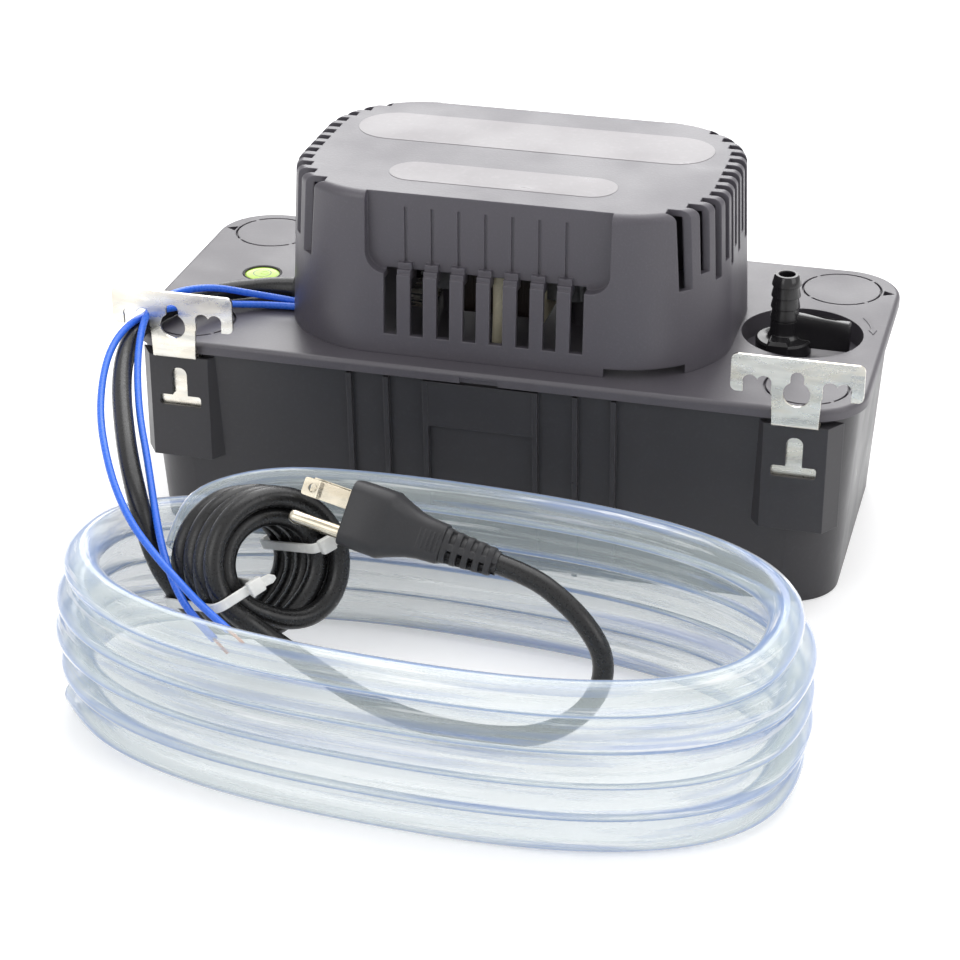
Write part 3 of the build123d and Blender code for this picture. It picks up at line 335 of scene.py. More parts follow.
@dataclass(frozen=True)
class SheetMetal:
    """Plated or rolled metal with faint streaks and spangle."""

    name: str
    colour: Colour
    roughness: float = 0.28
    streak: Point = (1, 1, 6)
    warmth: float = 0.25
    warm: Colour = (1.0, 0.92, 0.8)
    cells_per_metre: float = 420.0

    def material(self) -> Material:
        """Builds the material: plating cells, streaks, warm patches and bright worn edges.

        Returns:
            The material.
        """
        mix = Recipe(self.name, self.colour, self.roughness, 1.0)
        spots = mix.mapped(mix.place, (self.cells_per_metre,) * 3)
        cells = mix.add("ShaderNodeTexVoronoi", {"Vector": spots, "Scale": 1.0}).outputs["Color"]
        spangle = mix.add("ShaderNodeSeparateColor", {0: cells}).outputs[0]
        streaks = mix.noise(2.2, 5, self.streak)
        patches = mix.spread(mix.noise(9, 3, (2.2, 1, 0.8), 2.0), 0.45, 0.6, 0.0, self.warmth)
        bands = mix.noise(7, 2, (3, 1, 0.7), 6.0)
        mix.mottle(mix.spread(bands, 0.36, 0.62), 0.78, 1.06)
        mix.tint(mix.spread(streaks, 0.35, 0.7, 0.0, 0.3), 0.8)
        mix.tint(patches, tuple(part * keep for part, keep in zip(self.colour, self.warm)))
        mix.tint(mix.maths("MULTIPLY", mix.edges(0.3), 0.5), 1.25)
        mix.set({"Roughness": mix.plus(mix.drift(streaks, 0.07, 0.09), spangle, 0.05)})
        mix.relief(mix.plus(streaks, spangle, 0.15), 0.006, 0.25)
        return mix.material


@dataclass(frozen=True)
class Stacked:
    """Metal in thin layers or strands, such as a laminated core or a wound coil."""

    name: str
    colour: Colour
    pitch: float
    along: str = "Z"
    roughness: float = 0.35
    depth: float = 0.12
    metallic: float = 1.0

    def material(self) -> Material:
        """Builds the material: layer lines with dark joints, and tone that drifts.

        Returns:
            The material.
        """
        mix = Recipe(self.name, self.colour, self.roughness, self.metallic)
        scale = 2 * math.pi / (20 * self.pitch * MM)  # bands repeat every 2 pi / 20
        inputs = {"Vector": mix.place, "Scale": scale, "Distortion": 0.15, "Detail": 1.0}
        lines = mix.add("ShaderNodeTexWave", inputs, bands_direction=self.along).outputs["Fac"]
        dull = mix.noise(11, 4)
        mix.mottle(mix.spread(lines, 0.05, 0.35), 0.3, 1.0)
        mix.tint(mix.spread(dull, 0.45, 0.75, 0.0, 0.4), 0.6)
        mix.drift(dull, 0.0, 0.18)
        mix.relief(lines, self.depth)
        return mix.material


@dataclass(frozen=True)
class Jacket:
    """Extruded cord or lead insulation."""

    name: str
    colour: Colour
    roughness: float = 0.38
    sheen: float = 0.5
    ripple: float = 0.025

    def material(self) -> Material:
        """Builds the material: fine extrusion ripple, dust and a satin skin.

        Returns:
            The material.
        """
        mix = Recipe(self.name, self.colour, self.roughness)
        mix.set({"Specular IOR Level": self.sheen})
        ripple = mix.noise(1.1)
        dust = mix.spread(mix.noise(7, 5, seed=5.0), 0.55, 0.8, 0.0, 0.5)
        mix.tint(dust, tuple(part * 1.3 + 0.002 for part in self.colour))
        mix.drift(ripple, 0.05, 0.08)
        mix.relief(ripple, self.ripple)
        return mix.material


@dataclass(frozen=True)
class ClearVinyl:
    """Clear tubing: milky, blue where its wall is seen edge on, blue streaks, painted highlights.
    """

    name: str
    body: Colour
    rim: Colour
    streak: Colour
    veil: float = 0.3
    wall: float = 0.92
    # Painted highlight: near-white laid where the wall is seen nearly edge on, as bright lines
    # where turns touch.
    outline: Colour = (0.9, 0.94, 0.97)
    # Painted highlight: the near-white colour of the pale streaks, standing in for reflected lamps.
    painted_highlight: Colour = (0.96, 0.98, 0.98)

    def material(self) -> Material:
        """Builds the material: see-through at the middle, denser at the rims, streaks, painted
        highlights.

        Returns:
            The material.
        """
        mix = Recipe(self.name, self.body, 0.08)
        mix.set({"IOR": 1.45, "Specular IOR Level": 0.9})
        mix.set({"Coat Weight": 0.5, "Coat Roughness": 0.03})
        facing = mix.add("ShaderNodeLayerWeight", {"Blend": 0.5}).outputs["Facing"]
        long = mix.streaks(26, 5)
        cool = mix.spread(long, 0.52, 0.66)
        # Painted highlights: pale streaks along the tube, tinted near-white and made denser.
        pale = mix.spread(mix.streaks(60, 13, 4.0), 0.56, 0.68)
        mix.tint(cool, self.streak)
        mix.tint(mix.spread(facing, 0.42, 0.72), self.rim)
        # Painted highlight: near-white at the grazing edges.
        mix.tint(mix.spread(facing, 0.72, 0.93), self.outline)
        mix.tint(mix.maths("MULTIPLY", pale, 0.8), self.painted_highlight)
        dense = mix.spread(facing, 0.3, 0.95, self.veil, self.wall)
        dense = mix.plus(mix.plus(dense, cool, 0.22), pale, 0.3)
        mix.set({"Alpha": mix.maths("MINIMUM", dense, 1.0)})
        mix.drift(long, 0.04, 0.06)
        mix.relief(mix.noise(18, 2, (2, 2, 1)), 0.25)
        return mix.material


@dataclass(frozen=True)
class LevelFluid:
    """Lime fluid under a clear lens, with its printed centring ring."""

    name: str
    colour: Colour
    centre: Point
    ring: float = 3.6
    line: float = 0.35
    shadow_from: float = 5.8
    shadow_to: float = 7.6

    def material(self) -> Material:
        """Builds the material: bright fluid, a dark printed ring and a wet skin.

        Returns:
            The material.
        """
        mix = Recipe(self.name, self.colour, 0.12)
        mix.set({"Specular IOR Level": 0.3})
        spot = mix.mapped(mix.place, (1, 1, 0), tuple(-part * MM for part in self.centre))
        far = mix.add("ShaderNodeVectorMath", {0: spot}, operation="LENGTH").outputs["Value"]
        off = mix.maths("ABSOLUTE", mix.maths("SUBTRACT", far, self.ring * MM))
        clouds = mix.noise(5)
        mix.mottle(clouds, 0.85, 1.1)
        mix.tint(mix.spread(far, self.shadow_from * MM, self.shadow_to * MM, 0.0, 0.6), 0.35)
        mix.tint(mix.spread(off, self.line * MM, self.line * 0.5 * MM), 0.25)
        mix.relief(clouds, 0.05)
        return mix.material


class Finish(Enum):
    """Every finish on the pump, built the first time that it is used."""

    HOOD = MouldedPlastic("hood_plastic", srgb(79, 76, 83), 0.42, 0.9, 0.06, 0.3, 0.7, 0.6)
    DECK = MouldedPlastic("deck_plastic", srgb(77, 74, 80), 0.42, 1.1, 0.02, 0.3, 0.5, 0.6)
    TANK = MouldedPlastic("tank_plastic", srgb(52, 51, 54), 0.36, 1.3, 0.015, 0.3, 0.4, 0.4)
    LABEL = MouldedPlastic("label_film", srgb(104, 99, 103), 0.36, 2.0, 0.006, 0.1, 0.1, 0.6)
    GLOSS_BLACK = MouldedPlastic("gloss_black", srgb(34, 33, 35), 0.2, 3.0, 0.008, 0.25, 0.3)
    GREY_PLASTIC = MouldedPlastic("pump_grey", srgb(96, 96, 100), 0.42, 1.4, 0.02)
    CREAM = MouldedPlastic("bobbin_cream", srgb(226, 218, 190), 0.4, 2.0, 0.01, 0.1)
    NYLON = MouldedPlastic("white_nylon", srgb(236, 236, 232), 0.33, 2.4, 0.02, 0.1, 0.2)
    FOAM = MouldedPlastic("closed_foam", srgb(205, 200, 186), 0.7, 0.9, 0.12, 0.1, 0.8)
    RUBBER = MouldedPlastic("grommet_rubber", srgb(26, 26, 27), 0.55, 1.0, 0.03, 0.2, 0.3)
    PLUG = MouldedPlastic("plug_vinyl", srgb(52, 52, 54), 0.48, 0.8, 0.03, 0.2, 0.5, 0.35)
    PLATED = SheetMetal("zinc_plate", srgb(228, 226, 218), 0.24, (5, 1, 1.6), 0.4)
    STEEL = SheetMetal("bright_steel", srgb(190, 190, 192), 0.3, (6, 1, 1), 0.05)
    CAST = SheetMetal("cast_aluminium", srgb(176, 177, 180), 0.42, (1, 1, 1), 0.0)
    BRONZE = SheetMetal("sintered_bronze", srgb(176, 140, 88), 0.42, (1, 1, 1), 0.1)
    BLADE = SheetMetal("nickelled_brass", srgb(216, 208, 190), 0.2, (4, 1, 1), 0.3)
    COPPER_END = SheetMetal("copper_strand", srgb(205, 138, 94), 0.3, (1, 1, 1), 0.1)
    CORE = Stacked("laminated_core", srgb(120, 121, 124), 0.5)
    WINDING = Stacked("varnished_winding", srgb(34, 24, 19), 0.6, "X", 0.4, 0.2, 0.0)
    CORD = Jacket("cord_vinyl", srgb(29, 29, 30), 0.3, 0.45, 0.006)
    BLUE = Jacket("blue_insulation", srgb(50, 112, 232), 0.28, 0.5, 0.008)
    VINYL = ClearVinyl("hose_vinyl", srgb(218, 230, 230), srgb(150, 174, 216), srgb(132, 160, 212))
    LIME = LevelFluid("level_fluid", srgb(172, 210, 44), (-111.5, 4.0, 0.0))

    def material(self) -> Material:
        """The finish's one material."""
        return bpy.data.materials.get(self.value.name) or self.value.material()


# --- making pieces


def dress(finish: Finish, *nodes: str) -> None:
    """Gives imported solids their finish.

    Args:
        finish: The finish.
        *nodes: The solids' names.
    """
    for name in nodes:
        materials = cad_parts[name].data.materials
        materials.clear()
        materials.append(finish.material())


def add_object(name: str, data: bpy.types.ID) -> Piece:
    """Adds an object to the scene.

    Args:
        name: The object's name.
        data: Its mesh, curve, lamp or camera.

    Returns:
        The object, at the origin.
    """
    piece = bpy.data.objects.new(name, data)
    bpy.context.scene.collection.objects.link(piece)
    return piece


def settle(piece: Piece, slot: str, *stands_for: str, body: str = "pump") -> Piece:
    """Hands a finished piece over.

    Args:
        piece: The piece, in place.
        slot: Its material slot in the record. Not used.
        *stands_for: Solids that it is shown for.
        body: The body that it moves with.

    Returns:
        The piece.
    """
    if stands_for:
        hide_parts(*stands_for)
    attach(piece, body)
    log.info("  %s on %s", piece.name, body)
    return piece


def shift(x: float = 0.0, y: float = 0.0, z: float = 0.0) -> Matrix:
    """A move along the axes."""
    return Matrix.Translation((x, y, z))


def place(origin: Point | Vector, x_axis: Point | Vector, z_axis: Point | Vector) -> Matrix:
    """Sets up a frame.

    Args:
        origin: Its origin.
        x_axis: The direction that its X leans in.
        z_axis: The direction of its Z.

    Returns:
        The frame.
    """
    up = Vector(z_axis).normalized()
    right = (Vector(x_axis) - up * Vector(x_axis).dot(up)).normalized()
    turned = Matrix((right, up.cross(right), up)).transposed().to_4x4()
    return shift(*origin) @ turned


def oval(width: float, depth: float, rounding: float, at: Matrix, count: int) -> list[Vector]:
    """Points round a rounded rectangle.

    Args:
        width: Size along the place's X.
        depth: Size along the place's Y.
        rounding: Corner radius.
        at: The place.
        count: Points, a multiple of 4.

    Returns:
        The points, anticlockwise.
    """
    points = []
    quarter = count // 4
    for i in range(count):
        corner = i // quarter
        angle = math.radians(90 * corner + 90 * (i % quarter) / (quarter - 1))
        side_x = 1 if corner in (0, 3) else -1
        side_y = 1 if corner in (0, 1) else -1
        x = side_x * (width / 2 - rounding) + rounding * math.cos(angle)
        y = side_y * (depth / 2 - rounding) + rounding * math.sin(angle)
        points.append(at @ Vector((x, y, 0)))
    return points


def circle(radius: float, at: Matrix, count: int = 24) -> list[Vector]:
    """Points round a circle."""
    return oval(2 * radius, 2 * radius, radius, at, count)


class Ends(Enum):
    """How a loft ends: with a face at each end, left open, or joined to its start."""

    CAPPED = auto()
    OPEN = auto()
    JOINED = auto()


class Build:
    """A piece being built in millimetres out of blocks, turnings and lofts."""

    def __init__(self) -> None:
        """Starts with nothing."""
        self.shape = bmesh.new()

    @staticmethod
    def edges_of(verts: Iterable[bmesh.types.BMVert]) -> list[bmesh.types.BMEdge]:
        """The edges that meet at some points, each one once."""
        return list(dict.fromkeys(edge for vert in verts for edge in vert.link_edges))

    def block(self, size: Point, at: Matrix, rounding: float) -> None:
        """Adds a block with rounded edges.

        Args:
            size: Its size along the place's axes.
            at: The place of its middle.
            rounding: How much its edges are rounded.
        """
        cube = bmesh.ops.create_cube(self.shape, size=1.0)["verts"]
        bmesh.ops.scale(self.shape, vec=size, verts=cube)
        rounded = bmesh.ops.bevel(
            self.shape, geom=self.edges_of(cube), offset=rounding, affect="EDGES",
            segments=2, profile=0.5, material=-1,
        )["verts"]
        made = dict.fromkeys([*rounded, *(vert for vert in cube if vert.is_valid)])
        bmesh.ops.transform(self.shape, matrix=at, verts=list(made))

    def turning(self, profile: Profile, at: Point, steps: int) -> None:
        """Adds a turned body.

        Args:
            profile: Radius and height of each point round the closed outline.
            at: Foot of the axis, which is upright.
            steps: Faces round the body.
        """
        new = self.shape.verts.new
        verts = [new((at[0] + radius, at[1], at[2] + height)) for radius, height in profile]
        edges = [self.shape.edges.new(pair) for pair in zip(verts, verts[1:] + verts[:1])]
        bmesh.ops.spin(
            self.shape, geom=verts + edges, cent=at, axis=(0, 0, 1), angle=2 * math.pi,
            steps=steps, use_merge=True,
        )

    def loft(self, sections: Sequence[Line], ends: Ends = Ends.CAPPED) -> None:
        """Adds a skin over sections with the same number of points.

        Args:
            sections: The sections in order.
            ends: How the skin ends.
        """
        loops = []
        for section in sections:
            made = bmesh.ops.create_circle(self.shape, segments=len(section), radius=1.0)
            for vert, spot in zip(made["verts"], section):
                vert.co = spot
            loops.append(self.edges_of(made["verts"]))
        if ends is Ends.JOINED:
            loops.append(loops[0])
        for first, second in zip(loops, loops[1:]):
            bmesh.ops.bridge_loops(self.shape, edges=first + second)
        if ends is Ends.CAPPED:
            for loop in (loops[0], loops[-1]):
                bmesh.ops.contextual_create(self.shape, geom=loop)

    def piece(
        self, name: str, finish: Finish, slot: str, *stands_for: str,
        body: str = "pump", crease: float = 35.0,
    ) -> Piece:
        """Turns the shape into a piece and hands it over.

        Args:
            name: The piece's name.
            finish: Its finish.
            slot: Its material slot in the record.
            *stands_for: Solids that it is shown for.
            body: The body that it moves with.
            crease: Angle past which an edge stays sharp, degrees.

        Returns:
            The piece.
        """
        shape = self.shape
        bmesh.ops.remove_doubles(shape, verts=shape.verts, dist=MERGE_DISTANCE)
        bmesh.ops.recalc_face_normals(shape, faces=shape.faces)
        bmesh.ops.scale(shape, vec=(MM, MM, MM), verts=shape.verts)
        mesh = bpy.data.meshes.new(name)
        shape.to_mesh(mesh)
        shape.free()
        mesh.shade_smooth()
        mesh.set_sharp_from_angle(angle=math.radians(crease))
        mesh.materials.append(finish.material())
        return settle(add_object(name, mesh), slot, *stands_for, body=body)


def lay_cord(
    name: str, points: Iterable[Sequence[float]], radius: float, finish: Finish,
    caps: bool = True,
) -> Piece:
    """Lays a cord on one smooth spline.

    Args:
        name: The object's name.
        points: The spline's control points, mm.
        radius: The cord's radius, mm.
        finish: Its finish.
        caps: Whether its ends are closed.

    Returns:
        The curve's object.
    """
    places = [(x * MM, y * MM, z * MM, 1.0) for x, y, z in points]
    curve = bpy.data.curves.new(name, "CURVE")
    curve.dimensions = "3D"
    spline = curve.splines.new("NURBS")
    spline.points.add(len(places) - 1)
    for point, spot in zip(spline.points, places):
        point.co = spot
    spline.order_u = 3
    spline.use_endpoint_u = True
    spline.resolution_u = 5
    curve.bevel_depth = radius * MM
    curve.bevel_resolution = 5
    curve.use_fill_caps = caps
    curve.materials.append(finish.material())
    return add_object(name, curve)


def rail(cord: Piece) -> list[Vector]:
    """Finds the line that a cord follows.

    Args:
        cord: The cord's curve.

    Returns:
        The points along it, mm.
    """
    bare = cord.data.copy()
    bare.bevel_depth = 0.0
    probe = bpy.data.objects.new("probe", bare)
    mesh = bpy.data.meshes.new_from_object(probe)
    points = [vert.co / MM for vert in mesh.vertices]
    bpy.data.objects.remove(probe)
    bpy.data.curves.remove(bare)
    bpy.data.meshes.remove(mesh)
    return points


def sleeve(
    name: str, line: Line, sizes: Callable[[float], float], finish: Finish, slot: str
) -> Piece:
    """Makes a round sleeve along a line.

    Args:
        name: The piece's name.
        line: The points that it follows, mm.
        sizes: Its radius at a share of the line from 0 to 1.
        finish: Its finish.
        slot: Its material slot in the record.

    Returns:
        The piece.
    """
    last = len(line) - 1
    build = Build()
    build.loft([
        circle(sizes(i / last), place(
            point, SLEEVE_X, line[min(i + 1, last)] - line[max(i - 1, 0)]
        ))
        for i, point in enumerate(line)
    ])
    return build.piece(name, finish, slot)


# --- studio


@dataclass(frozen=True)
class Lamp:
    """A square soft lamp, in metres and watts."""

    name: str
    at: Point
    size: float
    watts: float
    aim: Point = (0.0, -0.05, 0.06)

    def hang(self) -> None:
        """Hangs the lamp, facing the pump."""
        lamp = bpy.data.lights.new(self.name, "AREA")
        lamp.size, lamp.energy = self.size, self.watts
        stand = add_object(self.name, lamp)
        stand.location = self.at
        facing = Vector(self.aim) - Vector(self.at)
        stand.rotation_euler = facing.to_track_quat("-Z", "Y").to_euler()


@dataclass
class Studio:
    """A pale floor, soft lamps and the camera, in metres."""

    lens: float = 98.48
    sensor: float = 36.0
    camera_at: Point = (0.23164, -0.94005, 0.50205)
    camera_turn: Point = (62.86, 0.0, 14.86)
    see_through_layers: int = 32
    paper: float = 0.86
    paper_glow: float = 0.3
    sky: float = 0.55
    sky_colour: tuple[float, ...] = (0.99, 0.985, 1.0, 1.0)
    floor_drop: float = 0.0002
    lamps: tuple[Lamp, ...] = (
        Lamp("top_softbox", (0.1, 0.55, 1.7), 1.9, 26.0),
        Lamp("front_softbox", (-0.9, -1.5, 1.1), 1.3, 9.0),
        Lamp("right_softbox", (1.6, -0.5, 0.9), 1.1, 7.0),
        Lamp("rear_softbox", (-0.36, 1.5, 0.84), 1.15, 13.0),
    )

    def build(self) -> None:
        """Sets the camera, lamps, world and floor."""
        self.set_camera()
        for lamp in self.lamps:
            lamp.hang()
        self.fill_world()
        self.lay_floor()

    def set_camera(self) -> None:
        """Adds the camera and looks through it."""
        camera = bpy.data.cameras.new("camera")
        camera.lens, camera.sensor_width = self.lens, self.sensor
        eye = add_object("camera", camera)
        eye.location = self.camera_at
        eye.rotation_euler = tuple(math.radians(part) for part in self.camera_turn)
        scene = bpy.context.scene
        scene.camera = eye
        scene.view_settings.view_transform = "Standard"
        scene.cycles.transparent_max_bounces = self.see_through_layers

    def fill_world(self) -> None:
        """Fills the room with even light, and shows it white."""
        world = bpy.data.worlds.new("room")
        bpy.context.scene.world = world
        world.use_nodes = True
        tree = world.node_tree
        tree.nodes.clear()
        dim = {"Color": self.sky_colour, "Strength": self.sky}
        both = {0: seen_directly(tree)}
        for index, light in ((1, dim), (2, {"Strength": 1.0})):
            both[index] = add_node(tree, "ShaderNodeBackground", light).outputs[0]
        shown = add_node(tree, "ShaderNodeMixShader", both)
        add_node(tree, "ShaderNodeOutputWorld", {0: shown.outputs[0]})

    def lay_floor(self) -> None:
        """Lays a wide sheet of white paper with a faint tooth."""
        mix = Recipe("white_paper", (self.paper,) * 3, 0.9)
        mix.set({"Specular IOR Level": 0.1})
        tooth = mix.noise(2.5)
        tones = [(self.paper + step,) * 3 for step in (-0.01, 0.01)]
        mix.set({"Base Color": mix.mix(tooth, *tones)})
        mix.relief(tooth, 0.02)
        lit = mix.shader.outputs[0]
        glow = mix.add("ShaderNodeEmission", {"Strength": self.paper_glow}).outputs[0]
        both = mix.add("ShaderNodeAddShader", {0: lit, 1: glow}).outputs[0]
        shown = mix.add("ShaderNodeMixShader", {0: seen_directly(mix.tree), 1: lit, 2: both})
        feed(mix.tree, mix.tree.nodes["Material Output"], {0: shown.outputs[0]})
        shape = bmesh.new()
        bmesh.ops.create_grid(shape, x_segments=2, y_segments=2, size=6.0)
        bmesh.ops.translate(shape, vec=(0, 0, -self.floor_drop), verts=shape.verts)
        mesh = bpy.data.meshes.new("floor")
        shape.to_mesh(mesh)
        shape.free()
        mesh.materials.append(mix.material)
        add_object("floor", mesh)


# --- tank, deck and hood


@dataclass
class TankAndDeck:
    """The reservoir, its deck, the hanger brackets and the mark beside the valve's well."""

    deck_top: float = 85.0
    valve_at: Pair = (105.0, 2.0)
    mark_radius: float = 34.6
    mark_from: float = 33.0
    mark_to: float = 6.0
    mark_steps: int = 20
    mark_width: float = 1.0
    head_from: float = 0.72
    head_width: float = 3.4

    def build(self) -> None:
        """Dresses the solids and adds the turning mark."""
        dress(Finish.TANK, "tank")
        dress(Finish.DECK, "tank_cover")
        dress(Finish.PLATED, "hanger_bracket_left", "hanger_bracket_right")
        self.add_turning_mark()

    def add_turning_mark(self) -> None:
        """Adds a raised curved arrow that shows which way the valve turns."""
        sections = []
        for i in range(self.mark_steps + 1):
            share = i / self.mark_steps
            angle = math.radians(self.mark_from + (self.mark_to - self.mark_from) * share)
            width = self.mark_width
            if share >= self.head_from:
                width = self.head_width * (1.0 - share) / (1.0 - self.head_from) + 0.1
            radial = Vector((math.cos(angle), math.sin(angle), 0))
            along = Vector((-radial.y, radial.x, 0))
            middle = Vector((*self.valve_at, self.deck_top)) + radial * self.mark_radius
            sections.append(oval(width, 0.5, 0.05, place(middle, radial, along), 8))
        build = Build()
        build.loft(sections)
        build.piece("turning_mark", Finish.DECK, "dark_plastic")


@dataclass
class MotorHood:
    """The vented hood and the two bare label films on its top."""

    top: float = 149.0
    film: float = 0.12
    edge: float = 0.12
    sunk: float = 0.05

    def build(self) -> None:
        """Dresses the hood and lays the films."""
        dress(Finish.HOOD, "motor_cover")
        self.lay_film("label_film_rear", (0.0, 17.5), (144.0, 31.0), 15.4)
        self.lay_film("label_film_front", (-0.8, -30.3), (89.0, 20.4), 10.0)

    def lay_film(self, name: str, middle: Pair, size: Pair, rounding: float) -> None:
        """Lays one film with rounded ends.

        Args:
            name: The piece's name.
            middle: X and Y of its middle.
            size: Its length and depth.
            rounding: Radius of its ends.
        """
        sections = []
        for height, shrink in ((-self.sunk, 0.0), (self.film * 0.6, 0.0), (self.film, self.edge)):
            width, depth = (side - 2 * shrink for side in size)
            at = shift(*middle, self.top + height)
            sections.append(oval(width, depth, rounding - shrink, at, 64))
        build = Build()
        build.loft(sections)
        build.piece(name, Finish.LABEL, "dark_plastic", crease=4)


@dataclass
class BubbleLevel:
    """The round bubble level in the deck."""

    centre: Point = (-111.5, 4.0, 85.0)
    radius: float = 8.0
    gasket: float = 0.9
    depth: float = 4.5
    bubble_at: Point = (-110.6, 4.4, 84.9)
    bubble: Profile = (
        (1.35, 0.02), (1.6, 0.0), (1.72, 0.08), (1.6, 0.16), (1.35, 0.14),
    )

    def build(self) -> None:
        """Makes the fluid, its gasket and the bubble."""
        inner, outer, foot = self.radius - self.gasket, self.radius, 0.1 - self.depth
        lens = [(0.0, foot), (inner, foot), (inner, -0.5)]
        lens += [(inner * 0.85, -0.22), (inner * 0.5, -0.06), (0.0, 0.0)]
        ring = [(inner + 0.05, -1.2), (outer, -1.2), (outer, -0.25), (outer - 0.3, 0.05)]
        ring += [(inner + 0.3, 0.05), (inner + 0.05, -0.3)]
        for name, profile, at, steps, finish, slot, *solids in (
            ("level_fluid_cell", lens, self.centre, 48, Finish.LIME, "vial", "level_vial"),
            ("level_gasket", ring, self.centre, 48, Finish.RUBBER, "rubber"),
            ("level_bubble_rim", self.bubble, self.bubble_at, 32, Finish.LIME, "vial"),
        ):
            build = Build()
            build.turning(profile, at, steps)
            build.piece(name, finish, slot, *solids, crease=60)


# --- motor, pump, float and valve


@dataclass
class Mechanism:
    """The motor, the turning set, the pump, the float and its switches."""

    finishes: tuple[tuple[Finish, str], ...] = (
        (Finish.CORE, "stator_core"),
        (Finish.CREAM, "coil_bobbin"),
        (Finish.WINDING, "motor_winding"),
        (Finish.CAST, "motor_rotor"),
        (Finish.STEEL, "motor_shaft motor_screws run_lever safety_lever"),
        (Finish.PLATED, "lower_bearing_bracket upper_bearing_bracket switch_bracket"),
        (Finish.BRONZE, "lower_bush upper_bush"),
        (Finish.GREY_PLASTIC, "cooling_fan pump_housing inlet_strainer impeller discharge_duct"),
        (Finish.FOAM, "float_body"),
        (Finish.NYLON, "float_rod"),
        (Finish.GLOSS_BLACK, "run_switch safety_switch"),
    )
    sleeve_foot: Point = (1.6, -44.7, 86.0)
    sleeve_radius: float = 2.8
    sleeve_step: float = 3.4
    sleeve_sway: float = 0.5

    def build(self) -> None:
        """Dresses the solids and stands the coil's lead sleeve behind its slot."""
        for finish, names in self.finishes:
            dress(finish, *names.split())
        x, y, z = self.sleeve_foot
        line = [
            Vector((x + self.sleeve_sway * math.sin(i / 4), y, z + self.sleeve_step * i))
            for i in range(10)
        ]
        sleeve("coil_lead_sleeve", line, lambda _: self.sleeve_radius, Finish.CREAM, "bobbin")


@dataclass
class CheckValve:
    """The twist-lock check valve with its hose barb.

    Each of the handle's sections has its reach, foot, top and width, and each of the lock tab's
    its height and width. A ridge's points count outward and up from the barb's core.
    """

    at: Point = (105.0, 2.0, 0.0)
    stem_foot: float = 64.0
    stem_radius: float = 7.95
    groove: float = 1.25
    skirt_foot: float = 76.5
    skirt_radius: float = 11.0
    skirt_top: float = 82.0
    barb_foot: float = 90.0
    barb_top: float = 108.5
    barb_radius: float = 5.2
    ridges: int = 4
    ridge: Profile = ((-0.25, 0.0), (0.55, 0.35), (0.5, 0.9))
    bore: float = 3.1
    inlet: float = 3.0
    chamber: float = 5.4
    chamber_foot: float = 67.0
    chamber_top: float = 80.0
    handle: Stations = (
        (3.4, 78.6, 92.6, 3.6),
        (8.0, 78.6, 92.2, 3.6),
        (16.0, 78.6, 91.5, 3.8),
        (25.4, 78.6, 90.7, 4.2),
        (26.0, 79.0, 90.2, 3.6),
    )
    tab_at: Pair = (-0.8, -7.6)
    tab: Profile = ((77.0, 8.4), (82.7, 8.4), (84.0, 6.6))

    def build(self) -> None:
        """Makes the valve and dresses its seal and ball."""
        x, y, _ = self.at
        build = Build()
        build.turning(self.outline(), self.at, 64)
        build.loft([
            oval(width, top - foot, 0.9,
                 place((x + reach, y, (foot + top) / 2), (0, 1, 0), (1, 0, 0)), 16)
            for reach, foot, top, width in self.handle
        ])
        build.loft([
            oval(width, width, 0.7, shift(x + self.tab_at[0], y + self.tab_at[1], height), 16)
            for height, width in self.tab
        ])
        build.piece(
            "valve_moulding", Finish.GLOSS_BLACK, "black_gloss", "check_valve",
            body="valve", crease=32,
        )
        dress(Finish.RUBBER, "valve_seal")
        dress(Finish.NYLON, "valve_ball")

    def outline(self) -> list[Pair]:
        """Draws the turned outline, from the barb's mouth down its bore and up the outside.

        Returns:
            Radius and height of each point.
        """
        foot, stem, neck = self.stem_foot, self.stem_radius, self.stem_radius - self.groove
        brim, skirt, barb = self.skirt_top, self.skirt_radius, self.barb_radius
        points = [(self.bore, self.barb_top - 0.3), (self.bore, self.chamber_top)]
        points += [(self.chamber, self.chamber_top), (self.chamber, self.chamber_foot)]
        points += [(self.inlet, self.chamber_foot), (self.inlet, foot), (stem - 0.6, foot)]
        points += [(stem, foot + 0.6), (stem, foot + 5.0), (neck, foot + 5.0)]
        points += [(neck, foot + 6.8), (stem, foot + 6.8), (stem, self.skirt_foot)]
        points += [(skirt, self.skirt_foot), (skirt, brim - 0.7), (skirt - 0.7, brim)]
        points += [(7.4, brim + 0.1), (6.4, brim + 0.6), (5.8, brim + 1.6), (5.5, brim + 2.6)]
        points += [(5.4, self.barb_foot - 0.4)]
        pitch = (self.barb_top - self.barb_foot) / self.ridges
        for i in range(self.ridges):
            start = self.barb_foot + i * pitch
            points += [(barb + out, start + up) for out, up in self.ridge]
        points += [(barb - 0.25, self.barb_top - 0.5), (barb - 0.7, self.barb_top)]
        return [*points, (self.bore + 0.3, self.barb_top)]


# --- supply cord, plug and leads


def smooth(share: float) -> float:
    """Eases a share from 0 to 1."""
    share = max(0.0, min(1.0, share))
    return share * share * (3 - 2 * share)


